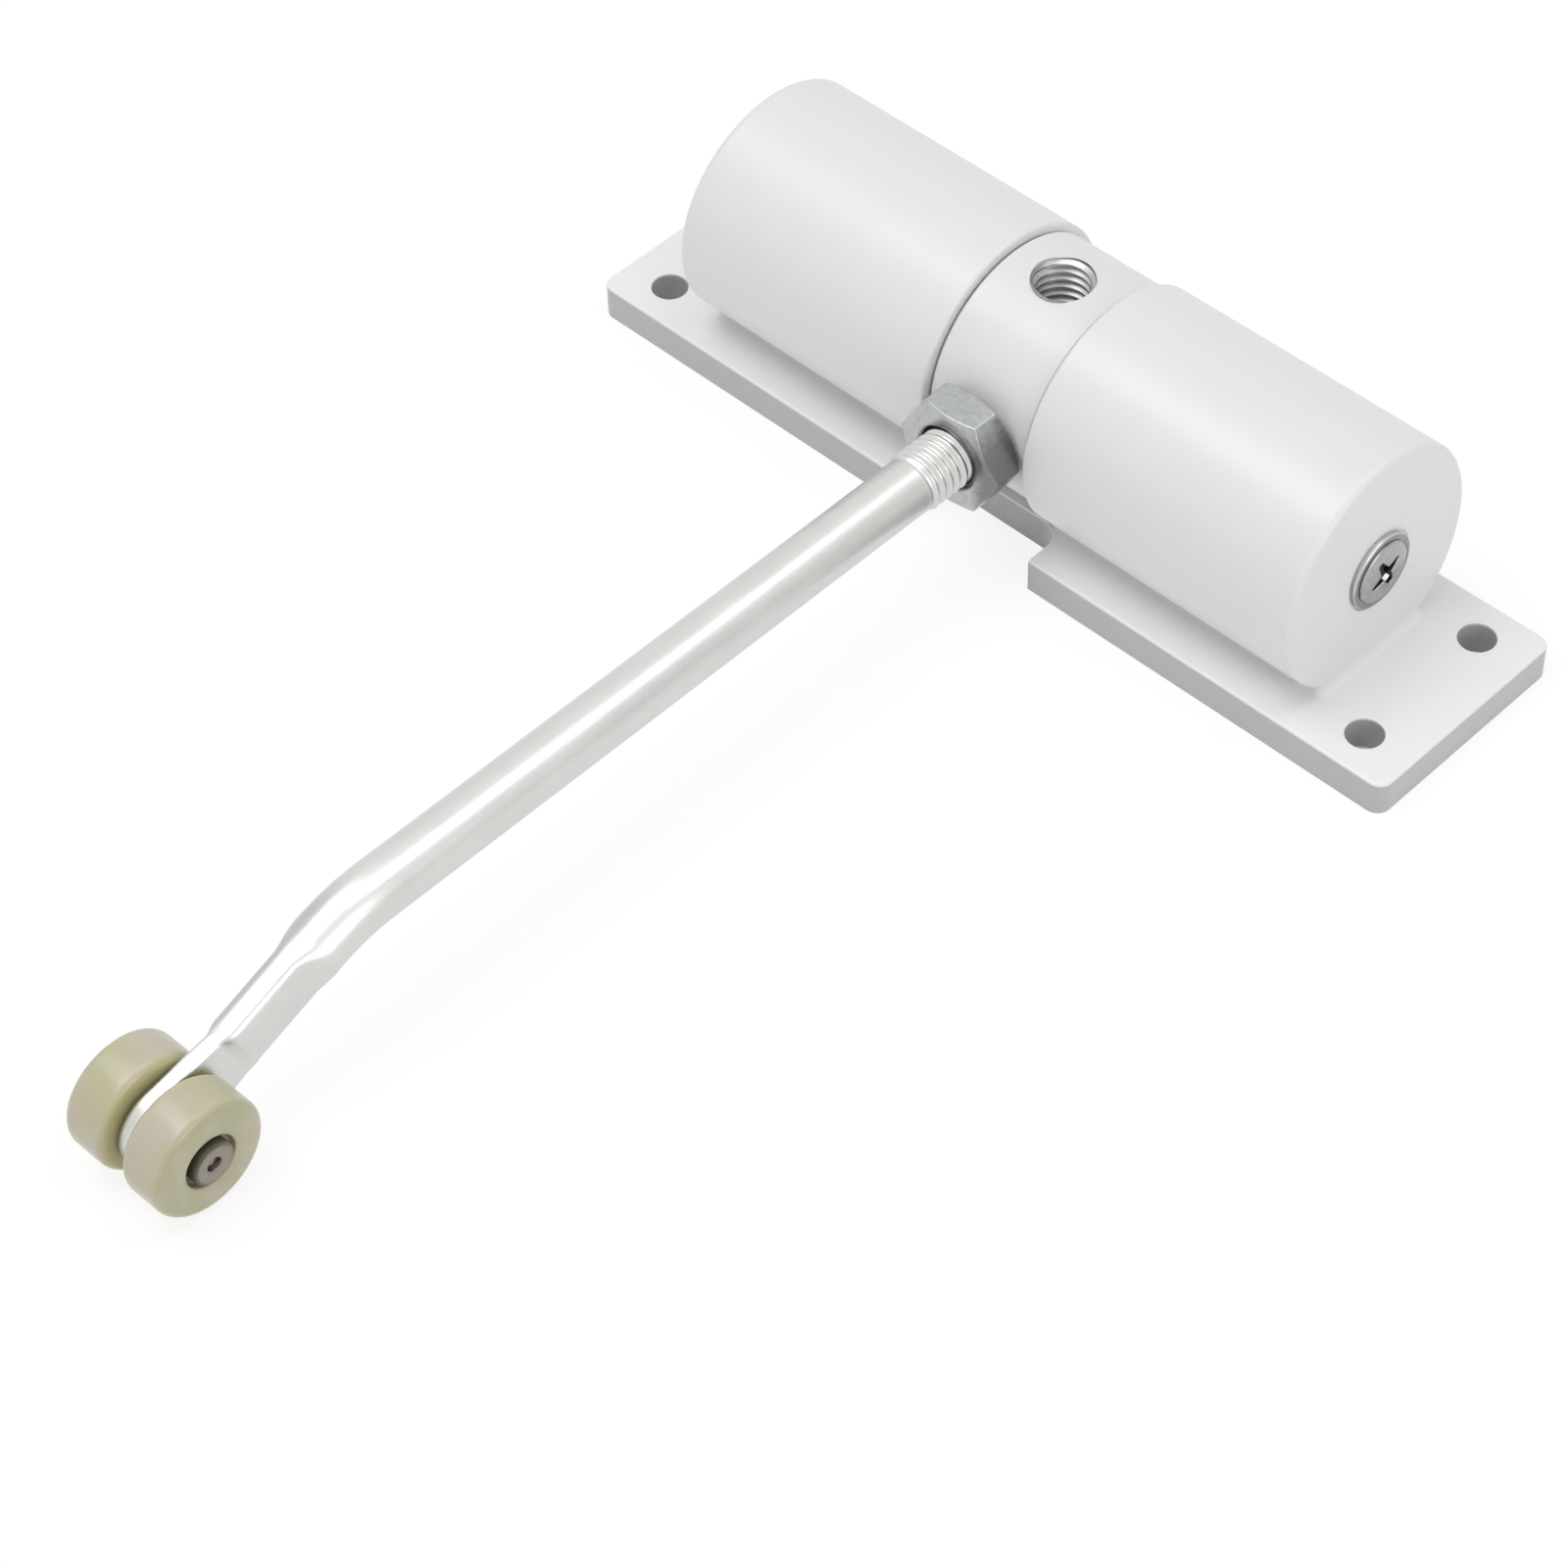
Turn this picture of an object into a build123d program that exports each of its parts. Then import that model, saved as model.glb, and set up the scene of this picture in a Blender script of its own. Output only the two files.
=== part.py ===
from build123d import *
from math import acos, atan2, cos, hypot, pi, radians, sin, tan
import os

# Spring door closer, sizes in mm.
# The origin is the centre of the plate's underside, which rests on z = 0.
# X runs along the barrel, Y to the back, Z up. The arm points to the front, along -Y.

# Housing: mounting plate
PLATE_LENGTH = 160.0
PLATE_WIDTH = 40.0
PLATE_THICKNESS = 6.0
PLATE_CORNER = 2.3
PLATE_EDGE = 0.5
SCREW_HOLE_R = 3.0
SCREW_MARGIN_X = 8.8
SCREW_MARGIN_Y = 6.9
NOTCH_SIDE = 1.9
NOTCH_WALL = 2.6
NOTCH_CORNER = 4.5

# Housing: the two tunnels over the springs
TUNNEL_R = 20.0
END_LAND = 18.5
END_LEAN_DEG = 2.0
END_ROUND = 1.3
FOOT_WALL = 0.3825
FOOT_FILLET = 0.9
WINDOW_ROUND = 0.5
END_WALL = 4.0
SPOT_FACE_R = 6.8
SPOT_FACE_DEPTH = 0.3

# Spindle, its sleeves and its end screws
SPINDLE_R = 4.0
SPINDLE_INSET = 1.1
SPINDLE_FIT = 0.05
SLEEVE_R = 5.0
SLEEVE_WALL_GAP = 0.1
SCREW_THREAD_R = 2.5
SCREW_DEPTH = 11.0
HOLE_PAST_SCREW = 1.0
THREAD_FIT = 0.05
WASHER_R = 6.35
WASHER_THICKNESS = 1.0
WASHER_BORE_R = 2.7
SCREW_HEAD_R = 5.3
SCREW_HEAD_HEIGHT = 2.6
SCREW_HEAD_RIM = 0.8

# Barrel
BARREL_DROP = 1.2
BARREL_WIDTH = 19.4
BARREL_SIDE_GAP = 0.3
BARREL_EDGE = 0.4
SOCKET_R = 5.0
SOCKET_DEPTH = 10.2
SOCKET_COUNT = 4

# Torsion springs
WIRE_R = 1.5
COIL_R = 6.9
TURN_GAP = 0.5
CHANNEL_GAP = 0.9
LEG_BEND_R = 3.1
LEG_STRAIGHT = 3.1
LEG_OUTSIDE = 2.9
LEG_IN_BARREL = 5.0
LEG_IN_WALL = 2.3
LEG_HOLE_FIT = 0.1
LEG_HOLE_SPARE = 0.3

# Arm
ROD_R = 4.515
STUD_R = 4.95
STUD_END_GAP = 0.4
THREAD_PAST_NUT = 8.4
BEND_R = 28.0
DROP_RUN = 34.6
PIN_Y = 180.6
ROLLER_REST_GAP = 0.3
FORGED_THICKNESS = 5.6
FORGED_HEIGHT = 9.6
FORGED_CORNER = 1.5
FORGE_RAMP = 5.5
FORGE_GAP = 0.2
SHOULDER_LENGTH = 3.0
BLADE_REACH = 12.2
BLADE_THICKNESS = 3.2
BLADE_HIGH = 4.6
BLADE_LOW = 5.8
BLADE_END_R = 7.0
BLADE_EDGE = 0.5

# Lock nut
NUT_ACROSS_FLATS = 17.0
NUT_THICKNESS = 6.5
NUT_SEAT_GAP = 0.3
NUT_CHAMFER_DEG = 30.0
NUT_FACE_R = 8.1

# Rollers and their pin
ROLLER_R = 9.5
ROLLER_WIDTH = 7.75
ROLLER_SIDE_GAP = 0.35
ROLLER_ROUND = 2.0
ROLLER_BORE_FIT = 0.08
RECESS_GAP = 0.8
RECESS_DEPTH = 1.5
PIN_R = 2.75
PIN_BLADE_FIT = 0.02
PIN_HEAD_R = 3.5
PIN_HEAD_GAP = 0.15
PIN_HEAD_SUNK = 0.2
PIN_HOLLOW_R = 1.9
PIN_HOLLOW_DEPTH = 1.3

# Values worked out from the sizes above
SCREW_SPACING_X = PLATE_LENGTH - 2 * SCREW_MARGIN_X
SCREW_SPACING_Y = PLATE_WIDTH - 2 * SCREW_MARGIN_Y
WINDOW_WIDTH = BARREL_WIDTH + 2 * BARREL_SIDE_GAP
NOTCH_WIDTH = WINDOW_WIDTH + 2 * NOTCH_SIDE
CHANNEL_WIDTH = 2 * (COIL_R + WIRE_R + CHANNEL_GAP)
NOTCH_INNER_Y = CHANNEL_WIDTH / 2 + NOTCH_WALL
FOOT_WIDTH = CHANNEL_WIDTH + 2 * FOOT_WALL
AXIS_HEIGHT = PLATE_THICKNESS + (TUNNEL_R ** 2 - FOOT_WIDTH ** 2 / 4) ** 0.5
TUNNEL_END = PLATE_LENGTH / 2 - END_LAND
CHANNEL_END = TUNNEL_END - END_WALL
SPOT_FACE_X = TUNNEL_END - SPOT_FACE_DEPTH
SPINDLE_END = TUNNEL_END - SPINDLE_INSET
BARREL_R = TUNNEL_R - BARREL_DROP
SOCKET_BOTTOM = BARREL_R - SOCKET_DEPTH
STUD_START = SOCKET_BOTTOM + STUD_END_GAP
NUT_BACK = BARREL_R + NUT_SEAT_GAP
THREAD_END = NUT_BACK + NUT_THICKNESS + THREAD_PAST_NUT
LEG_R = hypot(COIL_R, LEG_BEND_R)
LEG_SWING_DEG = atan2(LEG_BEND_R, COIL_R) * 180 / pi
INNER_LEG_DEG = 90 + 180 / SOCKET_COUNT
COIL_START_DEG = INNER_LEG_DEG + LEG_SWING_DEG
COIL_START_X = BARREL_WIDTH / 2 + LEG_STRAIGHT + LEG_BEND_R
COIL_END_X = CHANNEL_END - LEG_OUTSIDE - LEG_BEND_R
COIL_TURNS = int((COIL_END_X - COIL_START_X) / (2 * WIRE_R + TURN_GAP))
COIL_PITCH = (COIL_END_X - COIL_START_X) / COIL_TURNS
OUTER_LEG_DEG = COIL_START_DEG + 360 * COIL_TURNS + LEG_SWING_DEG
PIN_Z = ROLLER_R + ROLLER_REST_GAP
BEND_CORNER_Y = PIN_Y - DROP_RUN
DROP_ANGLE = atan2(AXIS_HEIGHT - PIN_Z, DROP_RUN)
DROP_LENGTH = hypot(AXIS_HEIGHT - PIN_Z, DROP_RUN)
BEND_TANGENT = BEND_R * tan(DROP_ANGLE / 2)
FORGE_START = BEND_TANGENT + FORGE_GAP
SHOULDER_END = DROP_LENGTH - BLADE_REACH
SHOULDER_START = SHOULDER_END - SHOULDER_LENGTH
ROLLER_IN = BLADE_THICKNESS / 2 + ROLLER_SIDE_GAP
ROLLER_OUT = ROLLER_IN + ROLLER_WIDTH
PIN_HEAD_IN = ROLLER_OUT - RECESS_DEPTH + PIN_HEAD_GAP
PIN_HEAD_OUT = ROLLER_OUT - PIN_HEAD_SUNK
OVERRUN = 1.0
BIG = 200.0
SIDES = {"right": 1, "left": -1}


def rod_x(radius, start, end, y=0.0, z=AXIS_HEIGHT):
    """A round bar along X between two x values."""
    bar = Cylinder(radius, abs(end - start))
    return Pos((start + end) / 2, y, z) * Rot(0, 90, 0) * bar


def ring_point(radius, angle_deg, x):
    """A point beside the barrel's axis, the angle counted from +Y towards +Z."""
    angle = radians(angle_deg)
    return Vector(x, radius * cos(angle), AXIS_HEIGHT + radius * sin(angle))


def grid_locations():
    """The four mounting-screw positions on the plate."""
    places = []
    for sx in (-1, 1):
        for sy in (-1, 1):
            places.append((sx * SCREW_SPACING_X / 2, sy * SCREW_SPACING_Y / 2))
    return places


def make_plate():
    """Mounting plate with rounded corners and a softened top edge."""
    outline = RectangleRounded(PLATE_LENGTH, PLATE_WIDTH, PLATE_CORNER)
    plate = extrude(outline, PLATE_THICKNESS)
    top_edges = plate.faces().sort_by(Axis.Z)[-1].edges()
    return fillet(top_edges, PLATE_EDGE)


def make_tunnel_bar():
    """Round bar over both tunnels, its ends leaning in upwards, edges rounded."""
    bar = rod_x(TUNNEL_R, -TUNNEL_END - OVERRUN, TUNNEL_END + OVERRUN)
    for side in SIDES.values():
        block = Pos(side * BIG / 2, 0, 0) * Box(BIG, BIG, BIG)
        turned = Rot(0, -side * END_LEAN_DEG, 0) * block
        bar = bar - Pos(side * TUNNEL_END, 0, AXIS_HEIGHT) * turned
    end_edges = bar.edges().filter_by(GeomType.ELLIPSE)
    return fillet(end_edges, END_ROUND)


def foot_edges(body):
    """Edges where the tunnel bar meets the plate's top face."""
    reach = FOOT_WIDTH / 2 + 0.01
    chosen = []
    for edge in body.edges():
        box = edge.bounding_box()
        flat = box.max.Z - box.min.Z < 0.01 and abs(box.min.Z - PLATE_THICKNESS) < 0.01
        if flat and box.max.Y < reach and box.min.Y > -reach:
            chosen.append(edge)
    return chosen


def make_window_round(side):
    """Ring cutter that rounds a tunnel's outer edge beside the window."""
    edge_x = WINDOW_WIDTH / 2
    low = TUNNEL_R - WINDOW_ROUND
    high = TUNNEL_R + OVERRUN
    centre_x = edge_x + WINDOW_ROUND
    knee = (centre_x - WINDOW_ROUND * cos(pi / 4), low + WINDOW_ROUND * sin(pi / 4))
    outline = Wire([
        Edge.make_line((edge_x - OVERRUN, low), (edge_x, low)),
        Edge.make_three_point_arc((edge_x, low), knee, (centre_x, TUNNEL_R)),
        Edge.make_line((centre_x, TUNNEL_R), (centre_x, high)),
        Edge.make_line((centre_x, high), (edge_x - OVERRUN, high)),
        Edge.make_line((edge_x - OVERRUN, high), (edge_x - OVERRUN, low)),
    ])
    ring = Pos(0, 0, AXIS_HEIGHT) * revolve(Face(outline), Axis.X, 360)
    above = Box(BIG, BIG, BIG, align=(Align.CENTER, Align.CENTER, Align.MIN))
    ring = ring & (Pos(0, 0, PLATE_THICKNESS + 2 * FOOT_FILLET) * above)
    return ring if side > 0 else mirror(ring, Plane.YZ)


def make_window():
    """Cutter for the gap between the tunnels, down to the plate's top face."""
    height = AXIS_HEIGHT + TUNNEL_R
    block = Box(WINDOW_WIDTH, BIG, height, align=(Align.CENTER, Align.CENTER, Align.MIN))
    return Pos(0, 0, PLATE_THICKNESS) * block


def make_notch(side):
    """Cutter for the plate's front or back notch, which the arm swings through."""
    deep = PLATE_WIDTH / 2
    height = PLATE_THICKNESS + OVERRUN
    block = Pos(0, side * (NOTCH_INNER_Y + deep), -OVERRUN) * Box(
        NOTCH_WIDTH, 2 * deep, height, align=(Align.CENTER, Align.CENTER, Align.MIN))
    corners = []
    for edge in block.edges().filter_by(Axis.Z):
        if abs(abs(edge.center().Y) - NOTCH_INNER_Y) < 0.01:
            corners.append(edge)
    return fillet(corners, NOTCH_CORNER)


def make_channel():
    """Cutter for the spring channel: round at the top, open on the underside."""
    half = CHANNEL_WIDTH / 2
    top = rod_x(half, -CHANNEL_END, CHANNEL_END)
    slot = Box(2 * CHANNEL_END, CHANNEL_WIDTH, AXIS_HEIGHT + OVERRUN)
    return top + Pos(0, 0, (AXIS_HEIGHT - OVERRUN) / 2) * slot


def make_housing():
    """The one casting: plate, tunnels, window, notches, channel and holes."""
    body = make_plate() + make_tunnel_bar()
    body = fillet(foot_edges(body), FOOT_FILLET)
    body = body - make_window()
    body = body - make_window_round(1) - make_window_round(-1)
    body = body - make_notch(1) - make_notch(-1) - make_channel()
    for x, y in grid_locations():
        hole = Cylinder(SCREW_HOLE_R, PLATE_THICKNESS + 2 * OVERRUN)
        body = body - Pos(x, y, PLATE_THICKNESS / 2) * hole
    past_end = TUNNEL_END + 2 * OVERRUN
    body = body - rod_x(SPINDLE_R + SPINDLE_FIT, -past_end, past_end)
    leg_place = ring_point(LEG_R, OUTER_LEG_DEG, 0)
    leg_end = CHANNEL_END + LEG_IN_WALL + LEG_HOLE_SPARE
    for side in SIDES.values():
        body = body - rod_x(SPOT_FACE_R, side * SPOT_FACE_X, side * past_end)
        leg_start = side * (CHANNEL_END - OVERRUN)
        body = body - rod_x(WIRE_R + LEG_HOLE_FIT, leg_start, side * leg_end, leg_place.Y, leg_place.Z)
    return body


def make_spindle():
    """Steel spindle between the end walls, drilled and tapped at both ends."""
    bar = rod_x(SPINDLE_R, -SPINDLE_END, SPINDLE_END)
    for side in SIDES.values():
        hole_start = side * (SPINDLE_END - SCREW_DEPTH - HOLE_PAST_SCREW)
        bar = bar - rod_x(SCREW_THREAD_R, hole_start, side * (SPINDLE_END + OVERRUN))
    return bar


def make_sleeve(side):
    """Spacer sleeve on the spindle, inside the spring."""
    start = side * (BARREL_WIDTH / 2 + SLEEVE_WALL_GAP)
    end = side * (CHANNEL_END - SLEEVE_WALL_GAP)
    return rod_x(SLEEVE_R, start, end) - rod_x(SPINDLE_R + SPINDLE_FIT, start, end)


def make_end_screw(side):
    """Domed head with a short rim, on a shank in the spindle's tapped hole."""
    seat = SPOT_FACE_X + WASHER_THICKNESS
    rim = seat + SCREW_HEAD_RIM
    top = seat + SCREW_HEAD_HEIGHT
    rise = SCREW_HEAD_HEIGHT - SCREW_HEAD_RIM
    dome_r = (SCREW_HEAD_R ** 2 + rise ** 2) / (2 * rise)
    knee = (top - dome_r + (dome_r ** 2 - SCREW_HEAD_R ** 2 / 4) ** 0.5, SCREW_HEAD_R / 2)
    shank_r = SCREW_THREAD_R - THREAD_FIT
    shank_end = SPINDLE_END - SCREW_DEPTH
    outline = Wire([
        Edge.make_line((shank_end, 0), (shank_end, shank_r)),
        Edge.make_line((shank_end, shank_r), (seat, shank_r)),
        Edge.make_line((seat, shank_r), (seat, SCREW_HEAD_R)),
        Edge.make_line((seat, SCREW_HEAD_R), (rim, SCREW_HEAD_R)),
        Edge.make_three_point_arc((rim, SCREW_HEAD_R), knee, (top, 0)),
        Edge.make_line((top, 0), (shank_end, 0)),
    ])
    screw = Pos(0, 0, AXIS_HEIGHT) * revolve(Face(outline), Axis.X, 360)
    return screw if side > 0 else mirror(screw, Plane.YZ)


def make_end_washer(side):
    """Plain washer between the end wall and the screw head."""
    start = side * SPOT_FACE_X
    end = side * (SPOT_FACE_X + WASHER_THICKNESS)
    return rod_x(WASHER_R, start, end) - rod_x(WASHER_BORE_R, start, end)


def make_barrel():
    """Drum on the spindle with four sockets for the arm and two spring-leg holes."""
    half = BARREL_WIDTH / 2
    drum = rod_x(BARREL_R, -half, half)
    drum = chamfer(drum.edges().filter_by(GeomType.CIRCLE), BARREL_EDGE)
    drum = drum - rod_x(SPINDLE_R + SPINDLE_FIT, -half - OVERRUN, half + OVERRUN)
    length = SOCKET_DEPTH + OVERRUN
    socket = Pos(0, 0, SOCKET_BOTTOM + length / 2) * Cylinder(SOCKET_R, length)
    for index in range(SOCKET_COUNT):
        turned = Rot(360 * index / SOCKET_COUNT, 0, 0) * socket
        drum = drum - Pos(0, 0, AXIS_HEIGHT) * turned
    leg_place = ring_point(LEG_R, INNER_LEG_DEG, 0)
    for side in SIDES.values():
        leg_end = side * (half - LEG_IN_BARREL - LEG_HOLE_SPARE)
        leg_start = side * (half + OVERRUN)
        drum = drum - rod_x(WIRE_R + LEG_HOLE_FIT, leg_end, leg_start, leg_place.Y, leg_place.Z)
    return drum


def helix_point(turn):
    """Point and unit direction of the coil after a number of turns."""
    angle = COIL_START_DEG + 360 * turn
    point = ring_point(COIL_R, angle, COIL_START_X + COIL_PITCH * turn)
    around = 2 * pi * COIL_R
    turn_dir = Vector(0, -sin(radians(angle)), cos(radians(angle))) * around
    direction = (turn_dir + Vector(COIL_PITCH, 0, 0)).normalized()
    return point, direction


def biarc(start, start_dir, end, end_dir):
    """Two arcs that join two points and share their directions there."""
    chord = end - start
    both = start_dir + end_dir
    a = 2 * (start_dir.dot(end_dir) - 1)
    b = -2 * chord.dot(both)
    c = chord.dot(chord)
    root = (b * b - 4 * a * c) ** 0.5
    reach = (-b - root) / (2 * a)
    middle = (start + end + (start_dir - end_dir) * reach) * 0.5
    first = Edge.make_tangent_arc(start, start_dir, middle)
    second = Edge.make_tangent_arc(middle, first.tangent_at(1), end)
    return [first, second]


def spring_path():
    """Straight leg, bend, true helix in half turns, bend and straight leg."""
    coil_start, start_dir = helix_point(0)
    coil_end, end_dir = helix_point(COIL_TURNS)
    inner_x = BARREL_WIDTH / 2 + LEG_STRAIGHT
    outer_x = COIL_END_X + LEG_BEND_R
    inner_bend = ring_point(LEG_R, INNER_LEG_DEG, inner_x)
    outer_bend = ring_point(LEG_R, OUTER_LEG_DEG, outer_x)
    along = Vector(1, 0, 0)
    inner_tip = inner_bend - along * (LEG_STRAIGHT + LEG_IN_BARREL)
    outer_tip = outer_bend + along * (LEG_OUTSIDE + LEG_IN_WALL)
    edges = [Edge.make_line(inner_tip, inner_bend)]
    edges += biarc(inner_bend, along, coil_start, start_dir)
    for half_turn in range(2 * COIL_TURNS):
        here, here_dir = helix_point(half_turn / 2)
        there, there_dir = helix_point((half_turn + 1) / 2)
        edges += biarc(here, here_dir, there, there_dir)
    edges += biarc(coil_end, end_dir, outer_bend, along)
    edges.append(Edge.make_line(outer_bend, outer_tip))
    return Wire(edges)


def least_gap(path):
    """Least distance between the tube's own turns, measured on points."""
    steps = 60 * COIL_TURNS
    points = [path.position_at(i / steps) for i in range(steps + 1)]
    skip = int(0.5 * steps * 2 * pi * COIL_R / path.length)
    best = BIG
    for i in range(0, steps + 1):
        for j in range(i + skip, steps + 1):
            best = min(best, (points[i] - points[j]).length)
    return best - 2 * WIRE_R


def make_spring(side):
    """Torsion spring: one unbroken tube from the barrel to the end wall."""
    path = spring_path()
    section = Plane(origin=path.position_at(0), z_dir=path.tangent_at(0)) * Circle(WIRE_R)
    tube = sweep(section, path=path)
    if side > 0:
        expected = pi * WIRE_R ** 2 * path.length
        print("spring: length %.1f, volume %.1f of %.1f, least gap %.2f" % (
            path.length, tube.volume, expected, least_gap(path)))
    return tube if side > 0 else mirror(tube, Plane.YZ)


def drop_plane(distance, height=0.0):
    """Plane across the dropped end at a distance from the bend's corner, x along X, y upwards."""
    along = Vector(0, -cos(DROP_ANGLE), -sin(DROP_ANGLE))
    upward = Vector(0, -sin(DROP_ANGLE), cos(DROP_ANGLE))
    corner = Vector(0, -BEND_CORNER_Y, AXIS_HEIGHT)
    return Plane(origin=corner + along * distance + upward * height, x_dir=(1, 0, 0), z_dir=-along)


def make_rod():
    """Stud, straight rod and bend, as far as the forged end."""
    stud = Pos(0, -(STUD_START + THREAD_END) / 2, AXIS_HEIGHT) * Rot(90, 0, 0) * Cylinder(
        STUD_R, THREAD_END - STUD_START)
    start = Vector(0, -THREAD_END, AXIS_HEIGHT)
    bend_start = Vector(0, BEND_TANGENT - BEND_CORNER_Y, AXIS_HEIGHT)
    bend_end = drop_plane(BEND_TANGENT).origin
    path = Wire([
        Edge.make_line(start, bend_start),
        Edge.make_tangent_arc(bend_start, Vector(0, -1, 0), bend_end),
        Edge.make_line(bend_end, drop_plane(FORGE_START).origin),
    ])
    section = Plane(origin=start, z_dir=(0, -1, 0)) * Circle(ROD_R)
    return stud + sweep(section, path=path)


def make_forged_bar():
    """Bar pressed from round to oblong, then a short shoulder down to the blade."""
    oblong = RectangleRounded(FORGED_THICKNESS, FORGED_HEIGHT, FORGED_CORNER)
    thin = RectangleRounded(BLADE_THICKNESS, BLADE_HIGH + BLADE_LOW, BLADE_EDGE)
    ramp_end = FORGE_START + FORGE_RAMP
    ramp = loft([drop_plane(FORGE_START) * Circle(ROD_R), drop_plane(ramp_end) * oblong])
    bar = extrude(drop_plane(SHOULDER_START) * oblong, SHOULDER_START - ramp_end)
    thin_plane = drop_plane(SHOULDER_END, (BLADE_HIGH - BLADE_LOW) / 2)
    shoulder = loft([drop_plane(SHOULDER_START) * oblong, thin_plane * thin])
    return ramp + bar + shoulder


def touch_point(height):
    """Where a line from the blade's start at a height touches the round end."""
    far = hypot(BLADE_REACH, height)
    turn = atan2(abs(height), BLADE_REACH) + acos(BLADE_END_R / far)
    side = 1 if height > 0 else -1
    return DROP_LENGTH - BLADE_END_R * cos(turn), side * BLADE_END_R * sin(turn)


def make_blade():
    """Flat forged end of the arm, round about the roller pin."""
    high = (SHOULDER_END, BLADE_HIGH)
    low = (SHOULDER_END, -BLADE_LOW)
    high_touch = touch_point(BLADE_HIGH)
    low_touch = touch_point(-BLADE_LOW)
    tip = (DROP_LENGTH + BLADE_END_R, 0)
    outline = Wire([
        Edge.make_line(low, high),
        Edge.make_line(high, high_touch),
        Edge.make_three_point_arc(high_touch, tip, low_touch),
        Edge.make_line(low_touch, low),
    ])
    along = Vector(0, -cos(DROP_ANGLE), -sin(DROP_ANGLE))
    side_plane = Plane(origin=(0, -BEND_CORNER_Y, AXIS_HEIGHT), x_dir=along, z_dir=(-1, 0, 0))
    blade = extrude(side_plane * Face(outline), BLADE_THICKNESS / 2, both=True)
    start_face = blade.faces().sort_by(Axis.Y)[-1]
    rims = []
    for edge in blade.edges():
        flat = edge.bounding_box().size.X < 0.01
        at_start = edge.center().Y > start_face.bounding_box().min.Y and edge.geom_type == GeomType.LINE
        if flat and not (at_start and abs(edge.length - BLADE_HIGH - BLADE_LOW) < 0.01):
            rims.append(edge)
    return chamfer(rims, BLADE_EDGE)


def make_arm():
    """Forged steel arm: stud, rod, bend, oblong bar and blade with the pin hole."""
    arm = make_rod() + make_forged_bar() + make_blade()
    hole_half = BLADE_THICKNESS / 2 + OVERRUN
    return arm - rod_x(PIN_R + PIN_BLADE_FIT, -hole_half, hole_half, -PIN_Y, PIN_Z)


def make_lock_nut():
    """Thin hexagon nut, a pair of corners along X, chamfered on both faces."""
    corner_r = NUT_ACROSS_FLATS / 2 / cos(pi / 6)
    cone_r = corner_r + OVERRUN
    hexagon = extrude(RegularPolygon(corner_r, 6), NUT_THICKNESS)
    cone_height = (cone_r - NUT_FACE_R) * tan(radians(NUT_CHAMFER_DEG))
    low_cone = Pos(0, 0, cone_height / 2) * Cone(NUT_FACE_R, cone_r, cone_height)
    middle = Pos(0, 0, NUT_THICKNESS / 2) * Cylinder(cone_r, NUT_THICKNESS - 2 * cone_height)
    high_cone = Pos(0, 0, NUT_THICKNESS) * Rot(180, 0, 0) * low_cone
    nut = hexagon & (low_cone + middle + high_cone)
    nut = nut - Pos(0, 0, NUT_THICKNESS / 2) * Cylinder(SOCKET_R, NUT_THICKNESS + 2 * OVERRUN)
    return Pos(0, -NUT_BACK, AXIS_HEIGHT) * Rot(90, 0, 0) * nut


def make_roller(side):
    """Nylon roller with rounded rims and a recess round the pin's head."""
    start = side * ROLLER_IN
    end = side * ROLLER_OUT
    wheel = rod_x(ROLLER_R, start, end, -PIN_Y, PIN_Z)
    wheel = fillet(wheel.edges().filter_by(GeomType.CIRCLE), ROLLER_ROUND)
    bore = rod_x(PIN_R + ROLLER_BORE_FIT, 0, side * BIG, -PIN_Y, PIN_Z)
    recess_start = side * (ROLLER_OUT - RECESS_DEPTH)
    recess_end = side * (ROLLER_OUT + OVERRUN)
    recess = rod_x(PIN_HEAD_R + RECESS_GAP, recess_start, recess_end, -PIN_Y, PIN_Z)
    return wheel - bore - recess


def make_roller_pin():
    """Rivet through the blade and both rollers, with hollow ends."""
    pin = rod_x(PIN_R, -PIN_HEAD_OUT, PIN_HEAD_OUT, -PIN_Y, PIN_Z)
    for side in SIDES.values():
        head = rod_x(PIN_HEAD_R, side * PIN_HEAD_IN, side * PIN_HEAD_OUT, -PIN_Y, PIN_Z)
        hollow_start = side * (PIN_HEAD_OUT - PIN_HOLLOW_DEPTH)
        hollow = rod_x(PIN_HOLLOW_R, hollow_start, side * (PIN_HEAD_OUT + OVERRUN), -PIN_Y, PIN_Z)
        pin = pin + head - hollow
    return pin


def save(name, shape):
    """Writes one node's STEP file and prints what it holds."""
    export_step(shape, "parts/" + name + ".step")
    print(name, "valid", shape.is_valid, "solids", len(shape.solids()), "volume %.1f" % shape.volume)


def main():
    os.makedirs("parts", exist_ok=True)
    save("housing", make_housing())
    save("spindle", make_spindle())
    save("end_screws", Compound([make_end_screw(1), make_end_screw(-1)]))
    save("end_washers", Compound([make_end_washer(1), make_end_washer(-1)]))
    save("barrel", make_barrel())
    save("arm", make_arm())
    save("lock_nut", make_lock_nut())
    save("roller_pin", make_roller_pin())
    for name, side in SIDES.items():
        save(name + "_sleeve", make_sleeve(side))
        save(name + "_spring", make_spring(side))
        save(name + "_roller", make_roller(side))


main()
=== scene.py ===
"""Looks of a spring door closer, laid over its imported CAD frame. Lengths are in metres."""

from math import pi

import bmesh
import bpy
import numpy as np
from bpy.props import FloatProperty, FloatVectorProperty, IntProperty, PointerProperty
from mathutils import Matrix, Vector


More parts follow.
